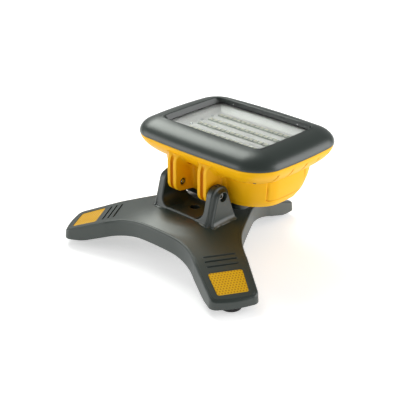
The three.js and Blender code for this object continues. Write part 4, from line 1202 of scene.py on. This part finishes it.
def housing_skin():
    """The yellow shell: flange slope, crease, box, rounded bottom with the battery bay, and its inside.

    The slope's rings change from the head's size to the flange's by flange_mix, the crease's in even steps
    from the flange's to the box's, and the bottom edge is a quarter circle.
    """

    def flange(inset, z):
        return at_height(pillow(bow=HEAD_BOW, inset=inset, **FLANGE), z)

    outer = [head_ring(2.9, JOIN - 0.15), head_ring(0.9, JOIN - 0.15), head_ring(0.5, JOIN - 0.45)]
    for z in np.linspace(JOIN - 0.7, CREASE + 0.35, 46):
        share = flange_mix(z)
        size = [a + (b - a) * share for a, b in
                ((HEAD_HALF - 0.4, FLANGE["half"]), (HEAD_NEAR + 0.4, FLANGE["near"]),
                 (HEAD_FAR - 0.4, FLANGE["far"]), (HEAD_RADIUS, FLANGE["radius"]))]
        outer.append(at_height(pillow(*size, HEAD_BOW), z))
    outer.append(flange(0.5, CREASE - 0.05))
    for share in (0.5, 0.9):
        size = {k: FLANGE[k] * (1 - share) + BOX[k] * share for k in FLANGE}
        outer.append(at_height(pillow(bow=HEAD_BOW, inset=0.4 * (1 - share), **size), CREASE - 0.15))
    outer += [box_ring(z) for z in np.linspace(CREASE - 0.6, BOX_FOOT, 44)]
    for turn in np.radians([20, 40, 60, 80, 90]):
        under = BOX_EDGE * math.sin(turn)
        outer.append(box_ring(BOX_FOOT, BOX_EDGE * (1 - math.cos(turn))) - [0, 0, under])
    shell = pressed(np.array(outer))
    edge = shell[-1]
    centre = np.array([0, BAY_Y])
    middle = np.repeat(centre[None], len(edge), 0)
    rays = np.arctan2(edge[:, 1] - centre[1], edge[:, 0] - centre[0])
    signs = ((-1, -1), (1, -1), (1, 1), (-1, 1))
    bay = rounded([(sx * BAY_HALF, BAY_Y + sy * BAY_LONG, 6) for sx, sy in signs], arc=10, straight=20)
    lip = at_angles(bay, centre, rays)
    rows = list(between(edge, at_height(lip, -20), np.linspace(0, 1, 4)))
    rows += [at_height(centre + (lip - centre) * share, z) for share, z in ((0.996, -19.7), (0.994, -17.7))]
    rows.append(at_height(middle, -17.7))
    inner = [head_ring(2.9, JOIN - 0.15), head_ring(2.9, JOIN - 2)]
    inner.append(flange(HOUSING_WALL, CREASE + HOUSING_WALL))
    inner += [box_ring(z, HOUSING_WALL) for z in (17, 5, -8, -15)]
    inner.append(at_height(middle, -15))
    skin = Skin()
    for rings in (shell, np.array(rows), np.array(inner)):
        skin.add(rings, around=True)
    return skin


LUG_IN, LUG_OUT = 18.3, 33.6
LUG_FRONT, LUG_BACK = -13.0, 27.0
LUG_RADIUS = 12.0
LUG_ROLL = 1.0
RIB_TOP = (40.0, 27.0)  # the ribs rise out of the flange between these levels
RIB_FOOT = 14.0  # down to here the ribs' fronts are set by the rise
RIB_GROOVE = (RIB_MIDDLE, 2.45, 3.0)  # its middle, half width and depth
LUG_FOOT = -16.0
FLANGE_FILLET, BOX_FILLET = 6.0, 5.0
NUT_POCKET = (5.3, 5.6)  # radius and depth, in the lug's inner side
BOLT_HOLE = (2.8, 1.5)  # radius and depth, in its outer side


def lug_skin():
    """A hinge lug: a plate with two ribs down its front, filleted into the flange and the box.

    The front leans back to the flange with the square of what is left of the rise, and the bend under it is
    an arc round the hinge.
    """
    r = LUG_RADIUS
    z = np.linspace(RIB_TOP[0], RIB_FOOT, 70)
    rise = np.clip((RIB_TOP[0] - z) / (RIB_TOP[0] - RIB_TOP[1]), 0, 1)
    lean = LUG_FRONT + (flange_near(RIB_TOP[0]) + 1.5 - LUG_FRONT) * (1 - rise) ** 2
    front = np.stack([lean, z], 1)
    below = np.stack([np.full(20, LUG_FRONT), np.linspace(RIB_FOOT, 0, 21)[1:]], 1)
    turn = np.radians(np.linspace(180, 262, 41)[1:])
    bend = np.stack([LUG_FRONT + r + r * np.cos(turn), r * np.sin(turn)], 1)
    tail = between(bend[-1:], np.array([[LUG_BACK, LUG_FOOT]]), np.linspace(0, 1, 30))[1:, 0]
    outline = np.vstack([front, below, bend, tail])
    inner = outline - edge_normals(outline) * LUG_ROLL
    rear = np.stack([np.full(len(z), LUG_BACK), z], 1)
    rows = between(inner[:len(z)], rear, np.linspace(0, 1, 34)).transpose(1, 0, 2)
    back = np.stack([np.full(22, LUG_BACK), np.linspace(LUG_FOOT, RIB_FOOT, 22)], 1)[1:-1]
    loop = np.vstack([inner[len(z) - 1:], back, rows[-1][::-1][:-1]])

    def lift(side, y, z):
        radius = FLANGE_FILLET * np.clip((z - 16) / 6, 0.001, 1)
        under = fillet(np.clip((flange_near(z) - y) * 0.75, 0, None), radius)
        wall = np.interp(z, [-20, -10, 5, 20], [26, 21, 18, 16])
        return np.maximum(under, fillet(np.clip(wall - y, 0, None), BOX_FILLET))

    steps = np.arange(len(outline))
    end = len(front) + len(below) + 30
    fade = np.clip((end - steps) / 14, 0, 1) * np.clip((steps - 6) / 12, 0, 1)
    edge = rolled_profile(LUG_IN, LUG_OUT, LUG_ROLL, RIB_GROOVE)
    faces = ((LUG_IN, *NUT_POCKET), (LUG_OUT, *BOLT_HOLE))
    return plate(outline, rows, loop, faces, lift, edge, (0.0, 0.0), fade)


BUTTON_HEIGHT = 4.0
SOCKET_MIDDLE = (81.5, 2.0)  # the charging socket's middle, in y and z
EYE_PIN = (-98.0, 14.0)  # the charging cover's pin, in x and z
EYE_RADIUS = 2.2


def on_far_wall(profile, sides):
    """A profile of (radius, y) carried round the power button's axis."""
    ring = spin(profile, sides)
    return Skin().add(np.stack([ring[..., 0], ring[..., 2], ring[..., 1] + BUTTON_HEIGHT], -1), around=True)


def button_pad():
    """The round pad that the power button comes through, on the far wall."""
    return on_far_wall([(12.5, 110), (12.5, 146.6), (12.3, 147.4), (11.7, 147.9), (10.8, 148), (9.2, 148),
                        (8.7, 147.8), (8.35, 147.4), (8.35, 140)], 72)


def jack_pad():
    """The flat pad of the charging socket on the -X side, with the two eyes of its cover's pin."""
    outline = rounded([(69.5, -10, 3), (93.5, -10, 3), (93.5, 17.4, 3), (69.5, 17.4, 3)], arc=7, straight=8)
    normals = outline_normals(outline)
    centre = np.array(SOCKET_MIDDLE)
    rays = np.arctan2(outline[:, 1] - centre[1], outline[:, 0] - centre[0])
    rim = np.stack([np.cos(rays), np.sin(rays)], 1)
    edge = ((-76, 0), (-94.4, 0), (-95.1, -0.3), (-95.5, -1))
    bore = ((-95.5, 8.1), (-95.4, 7.9), (-95.0, 7.8), (-93.7, 7.8), (-93.7, 5.8), (-82, 5.8))
    rows = [at_side(outline + normals * grow, x) for x, grow in edge]
    rows += [at_side(centre + rim * radius, x) for x, radius in bore]
    skin = Skin().add(np.array(rows), around=True)
    turn = np.radians(np.linspace(-70, 150, 16))
    pin = np.array([EYE_PIN])
    nose = np.stack([EYE_PIN[0] - EYE_RADIUS * np.cos(turn), EYE_PIN[1] + EYE_RADIUS * np.sin(turn)], 1)
    loop = np.vstack([nose, [[-94, 17.0]], [[-94, 10.5]]])
    for side in (-1, 1):
        low, high = centre[0] + side * 5.5, centre[0] + side * 9.1
        bevel = side * 0.25
        eye = []
        half = [(low, 0.2), (low, 0.93), (low + bevel, 1)]
        for y, share in [*half, (high - bevel, 1), (high, 0.93), (high, 0.2)]:
            line = pin + (loop - pin) * share
            eye.append(np.column_stack([line[:, 0], np.full(len(line), y), line[:, 1]]))
        skin.add(np.array(eye), around=True)
    return skin


def battery_door():
    """The battery cover: a shallow tray under the box whose rim stands down round a sunk floor."""
    size = {"half": 56.0, "near": 26.0, "far": 133.0, "radius": 10.0, "bow": 1.0}
    profile = [(3.0, -18.5), (0.0, -19.0), (0.0, -25.4), (0.4, -26.6), (1.5, -27.2), (2.8, -27.2),
               (3.6, -26.8), (4.0, -25.8), (4.2, -21.6), (5.0, -21.2), (5.4, -21.2), (12.0, -21.2),
               (12.3, -20.9), (13.5, -20.9), (13.8, -21.2), (20.0, -21.2)]
    rings = [at_height(pillow(inset=inset, arc=16, sides=(30, 30), **size), z) for inset, z in profile]
    centre = np.array([0, (size["near"] + size["far"]) / 2])
    ends = [at_height(np.repeat(centre[None], len(rings[0]), 0), z) for z in (-18.5, -21.2)]
    return Skin().add(np.array([ends[0], *rings, ends[1]]), around=True)


lay("battery_door", battery_door().moved(on_hinge), "head", slate, ["battery_cover"])

lug = lug_skin()
shell_parts = housing_skin().join(lug, mirrored(lug), button_pad(), jack_pad())
housing = lay("yellow_housing", shell_parts.moved(on_hinge), "head", yellow,
              ["rear_housing"], crease=32)
# painted shade for the housing's lines, screw pockets and rib grooves, read by the yellow material
mark(housing, "hollow", hollow(mesh_points(housing) - HINGE * [0, 1, 1]))

# ---- Tray and lamps ---------------------------------------------------------------------------------

TRAY_TOP = tray_high[2] - HINGE[2]
TRAY_FLOOR = TRAY_TOP - 5.8
TRAY_SLOPE = 13.5  # how far in the floor begins
TRAY_RIM = 1.5
BOARD_TOP = board_high[2] - HINGE[2]
ROWS = (51.5, 71.5, 91.5, 111.5)
SLOT_HALF = 60.0
CHANNEL_HALF = 4.4
CHANNEL_DEEP = 0.7
RIDGE_FROM = 5.6  # how far from a row's middle a ridge starts
RIDGE_HIGH = 1.7
LAMP_X = np.linspace(-55, 55, 15)


def tray_skin():
    """The white tray: sloped sides, a floor with sunk lamp channels and raised ridges between them.

    The floor is a height over x and y: a ridge is a rounded bump across y, a channel a sunk flat with
    sloping sides, and both run out along x over a few millimetres.
    """
    flat = {"half": PANE["half"] - TRAY_SLOPE, "near": PANE["near"] + TRAY_SLOPE,
            "far": PANE["far"] - TRAY_SLOPE}
    x = np.unique(np.concatenate([np.linspace(-flat["half"], flat["half"], 61),
                                  *(side * np.linspace(54, flat["half"], 24) for side in (-1, 1))]))
    y = np.linspace(flat["near"], flat["far"], 161)
    gx, gy = np.meshgrid(x, y)
    row = np.min([np.abs(gy - r) for r in ROWS], 0)
    ridge_run = np.clip((SLOT_HALF + 1 - np.abs(gx)) / 3.0, 0, 1)
    ridge = np.clip((row - RIDGE_FROM) / 3.2, 0, 1)
    ridge = ridge * ridge * (3 - 2 * ridge)
    inner = (gy > ROWS[0]) & (gy < ROWS[-1])
    channel = np.clip(CHANNEL_HALF - row, 0, 1) * np.clip((SLOT_HALF - np.abs(gx)) / 1.2, 0, 1)
    z = TRAY_FLOOR + RIDGE_HIGH * ridge * ridge_run * inner - CHANNEL_DEEP * channel
    edge = (np.abs(gx) > flat["half"] - 0.01) | (gy < flat["near"] + 0.01) | (gy > flat["far"] - 0.01)
    z = np.where(edge, TRAY_FLOOR, z)
    skin = Skin().add(np.stack([gx, gy, z], -1))
    loop = np.vstack([np.column_stack([x, np.full(len(x), flat["near"])]),
                      np.column_stack([np.full(160, flat["half"]), y[1:]]),
                      np.column_stack([x[-2::-1], np.full(len(x) - 1, flat["far"])]),
                      np.column_stack([np.full(159, -flat["half"]), y[-2:0:-1]])])
    centre = np.array([0, (flat["near"] + flat["far"]) / 2])
    out = pillow(inset=0.5, **PANE)
    # the slopes run out from the floor's edge, each of its points straight away from the middle
    grow = (out[:, 0].max() / flat["half"], (out[:, 1].max() - centre[1]) / (flat["far"] - centre[1]))
    square = centre + (loop - centre) * grow
    rows = [at_height(loop * (1 - s) + square * s, TRAY_FLOOR + (TRAY_TOP - TRAY_FLOOR) * s)
            for s in np.linspace(0, 1, 8)]
    wide = centre + (square - centre) * (1.05, 1.07)
    rows += [at_height(wide, TRAY_TOP), at_height(wide, TRAY_TOP - TRAY_RIM)]
    skin.add(np.array(rows), around=True)
    return skin.moved(on_hinge)


lay("white_reflector", tray_skin(), "head", white_gloss, ["reflector_tray"], crease=30)

CHIP = 5.0  # a lamp's width
CHIP_BEVEL = 0.25
STRIP_LIFT = 1.3  # from the board's top to the strip's underside
STRIP_HALF = (59.0, 3.2)
STRIP_THICK = 0.9
LAMP_HIGH = 2.0  # the lamps' tops over the strip's underside


def square_ring(half_x, half_y, z):
    """The corners of a rectangle about a row's middle, at one height."""
    return [(-half_x, -half_y, z), (half_x, -half_y, z), (half_x, half_y, z), (-half_x, half_y, z)]


def lamp_row(y):
    """A strip, the fifteen packages on it with a cup in the top of each, and the resin in the cups.

    A package is a square block with bevelled top edges, its top a flat ring round a cup that is a turned
    profile. The resin is a turned dome.
    """
    base = BOARD_TOP + STRIP_LIFT
    deck, top = base + STRIP_THICK, base + LAMP_HIGH
    half = CHIP / 2
    strip = np.array([square_ring(*STRIP_HALF, z) for z in (base, deck)]) + [0, y, 0]
    strip_skin = Skin().add(strip, around=True).add(np.array([strip[1, [0, 1]], strip[1, [3, 2]]]))
    body = np.array([square_ring(reach, reach, z) for reach, z in
                     ((half, deck), (half, top - CHIP_BEVEL), (half - CHIP_BEVEL, top))])
    cup = spin([(1.95, top), (1.75, base + 1.8), (0, base + 1.8)], 16)
    dome = spin([(1.72, base + 1.82), (1.5, base + 2.15), (0.9, base + 2.38), (0, base + 2.45)], 12)
    rays = np.arctan2(cup[0, :, 1], cup[0, :, 0])
    reach = (half - CHIP_BEVEL) / np.maximum(np.abs(np.cos(rays)), np.abs(np.sin(rays)))
    lip = at_height(np.column_stack([np.cos(rays) * reach, np.sin(rays) * reach]), top)
    packages, domes = Skin(), Skin()
    for x in LAMP_X:
        packages.add(body + [x, y, 0], around=True)
        packages.add(np.array([lip, *cup]) + [x, y, 0], around=True)
        domes.add(dome + [x, y, 0], around=True)
    return strip_skin, packages, domes


for number, y in enumerate(ROWS, 1):
    looks = (("strip", "lamp_board", board_white, 20), ("packages", "lamp_phosphor", package, 20),
             ("domes", "lamp_phosphor", resin, 60))
    for skin, (what, slot, material, crease) in zip(lamp_row(y), looks):
        lay(f"lamp_{what}_{number}", skin.moved(on_hinge), "head", material, [f"led_row_{number}"],
            crease)

# ---- Fasteners and controls -------------------------------------------------------------------------


def around_flats(angle):
    """How far a hexagon stands out at an angle, for a distance of 1 from its middle to its flats."""
    return 1 / np.cos((angle + math.pi / 6) % (math.pi / 3) - math.pi / 6)


def axis_rings(rows, angle):
    """Rings of (radius, height) about the Z axis, where a radius may change with the angle."""
    grid = []
    for r, z in rows:
        r = np.broadcast_to(r, len(angle))
        grid.append(np.stack([r * np.cos(angle), r * np.sin(angle), np.full(len(angle), float(z))], 1))
    return Skin().add(np.array(grid), around=True)


def cap_screw(radius, length, socket, deep):
    """A round head with a rolled edge and a six-sided socket, pointing along +z from 0."""
    angle = np.linspace(0, 2 * math.pi, 48, endpoint=False)
    hexed = socket * around_flats(angle)
    outside = [(0, 0), (radius, 0), (radius, length - 0.5), (radius - 0.15, length - 0.15)]
    rim = [(radius - 0.5, length), (hexed + 0.2, length)]
    inside = [(hexed, length - 0.2), (hexed, length - deep), (0, length - deep)]
    return axis_rings(outside + rim + inside, angle)


def hex_nut(across, bore, length):
    """A six-sided nut, its corners chamfered by a cone, pointing along +z from 0."""
    angle = np.linspace(0, 2 * math.pi, 72, endpoint=False)
    half = across / 2
    flat = half * around_flats(angle)
    rows = [(bore, 0.3), (bore + 0.3, 0.0), (half, 0.0), (flat, 0.45), (flat, length - 0.45), (half, length),
            (bore + 0.3, length), (bore, length - 0.3), (bore, 0.3)]
    return axis_rings(rows, angle)


def along_x(skin, side, x, y, z):
    """A skin that points along +z turned to point along x, out from the middle, at a place."""
    return skin.moved(lambda p: np.stack([side * (p[:, 2] + x), p[:, 0] + y, p[:, 1] + z], 1))


BOLT_GAP = 0.3
SHANK = 2.5
NUT_HIGH = 4.2
for side, name in ((-1, "left"), (1, "right")):
    seat = EAR_OUT - BOLT_SUNK + BOLT_GAP
    bolt = along_x(cap_screw(4.25, 5.0, 2.3, 2.6), side, seat, HINGE[1], HINGE[2])
    end = LUG_IN + 0.8
    shank = spin([(0, end), (SHANK - 0.3, end), (SHANK, end + 0.3), (SHANK, seat)], 32)
    bolt.join(along_x(Skin().add(shank, around=True), side, 0, HINGE[1], HINGE[2]))
    lay(f"cap_screw_{name}", bolt, "base", steel, [f"pivot_bolt_{name}"])
    nut_at = LUG_IN + NUT_POCKET[1] - BOLT_GAP - NUT_HIGH
    nut = along_x(hex_nut(8.0, BOLT_HOLE[0], NUT_HIGH), side, nut_at, HINGE[1], HINGE[2])
    lay(f"hex_nut_{name}", nut, "base", dark_steel, [f"pivot_nut_{name}"])

FIXING_X = 62.9
FIXING_Y = (61.5, 81.5, 101.5)
fixing = spin([(0, -5), (1.1, -5), (1.1, 0), (2.1, 0), (2.1, 0.35), (1.7, 0.95), (0.9, 1.2), (0, 1.25)], 20)
for number, (x, y) in enumerate([(sx * FIXING_X, y) for sx in (-1, 1) for y in FIXING_Y], 1):
    screw = Skin().add(fixing + [x, y, TRAY_FLOOR + 0.3], around=True).moved(on_hinge)
    lay(f"tray_fixing_{number}", screw, "head", steel, [f"tray_screw_{number}"])

PIN_RADIUS = 1.3
turn = np.radians(np.linspace(-90, 90, 11))
ball = spin(np.stack([PIN_RADIUS * np.cos(turn), PIN_RADIUS * np.sin(turn)], 1), 20)
for number, x in enumerate((-55, 55), 1):
    pin = Skin().add(ball + [x, PANE["far"] + 0.3, SEAT + 1.4], around=True).moved(on_hinge)
    lay(f"window_pin_{number}", pin, "head", steel)

push_button = on_far_wall([(0, 132.0), (8.0, 134.3), (8.0, 149.2), (7.7, 150.0), (7.0, 150.5), (6.2, 150.6),
                           (5.6, 150.3), (5.0, 150.15), (2.5, 150.0), (0, 149.95)], 64)
lay("push_button", push_button.moved(on_hinge), "power_button", black_rubber, ["power_button"])

# ---- Floor, light and camera ------------------------------------------------------------------------


def pale_floor():
    """A floor that is wide enough to fill every view."""
    mesh = bpy.data.meshes.new("floor")
    half = 6.0
    corners = [(-half, -half, 0), (half, -half, 0), (half, half, 0), (-half, half, 0)]
    mesh.from_pydata(corners, [], [(0, 1, 2, 3)])
    material, tree, shader = new_material("pale_floor")
    cloud = noise(tree, object_place(tree), 3.0)
    tint = mix(tree, cloud, (0.93, 0.93, 0.93, 1), (0.95, 0.95, 0.95, 1))
    tree.links.new(tint, shader.inputs["Base Color"])
    put(shader, {"Roughness": 0.9, "Specular IOR Level": 0.1, "Emission Color": (1, 1, 1, 1),
                 "Emission Strength": 0.5})
    mesh.materials.append(material)
    floor = bpy.data.objects.new("floor", mesh)
    bpy.context.scene.collection.objects.link(floor)


def softbox(name, place, aim, size, power, tint=(1, 1, 1)):
    """A rectangular studio light at a place, turned to look at a point."""
    light = bpy.data.lights.new(name, "AREA")
    light.shape = "RECTANGLE"
    light.size, light.size_y = size
    light.energy = power
    light.color = tint
    lamp = bpy.data.objects.new(name, light)
    lamp.location = place
    lamp.rotation_euler = (Vector(aim) - Vector(place)).to_track_quat("-Z", "Y").to_euler()
    bpy.context.scene.collection.objects.link(lamp)


def set_camera(azimuth, elevation, distance, aim, lens, shift):
    """A camera that looks at a point from an azimuth and elevation in degrees."""
    a, e = math.radians(azimuth), math.radians(elevation)
    back = Vector((math.sin(a) * math.cos(e), -math.cos(a) * math.cos(e), math.sin(e)))
    data = bpy.data.cameras.new("camera")
    data.lens = lens
    data.sensor_width = 36.0
    data.shift_x, data.shift_y = shift
    data.clip_start, data.clip_end = 0.05, 50
    camera = bpy.data.objects.new("camera", data)
    camera.location = Vector(aim) + back * distance
    camera.rotation_euler = back.to_track_quat("Z", "Y").to_euler()
    bpy.context.scene.collection.objects.link(camera)
    bpy.context.scene.camera = camera


pale_floor()
world = bpy.data.worlds.new("studio")
world.use_nodes = True
put(world.node_tree.nodes["Background"], {"Color": (1, 1, 1, 1), "Strength": 0.33})
bpy.context.scene.world = world
LIT_POINT = (0, 0, 0.08)
softbox("top", (-1.0, 0.36, 1.23), LIT_POINT, (0.8, 1.0), 15, (0.95, 1.0, 0.94))
softbox("left", (-1.05, -1.1, 0.42), LIT_POINT, (1.5, 0.8), 9)
softbox("right", (1.15, 0.95, 0.52), LIT_POINT, (1.5, 1.1), 15)
bpy.context.scene.view_settings.view_transform = "Standard"
set_camera(azimuth=44.0, elevation=25.4, distance=1.263, aim=(0, -0.03675, 0.0613), lens=89.8,
           shift=(0.020, 0.0185))
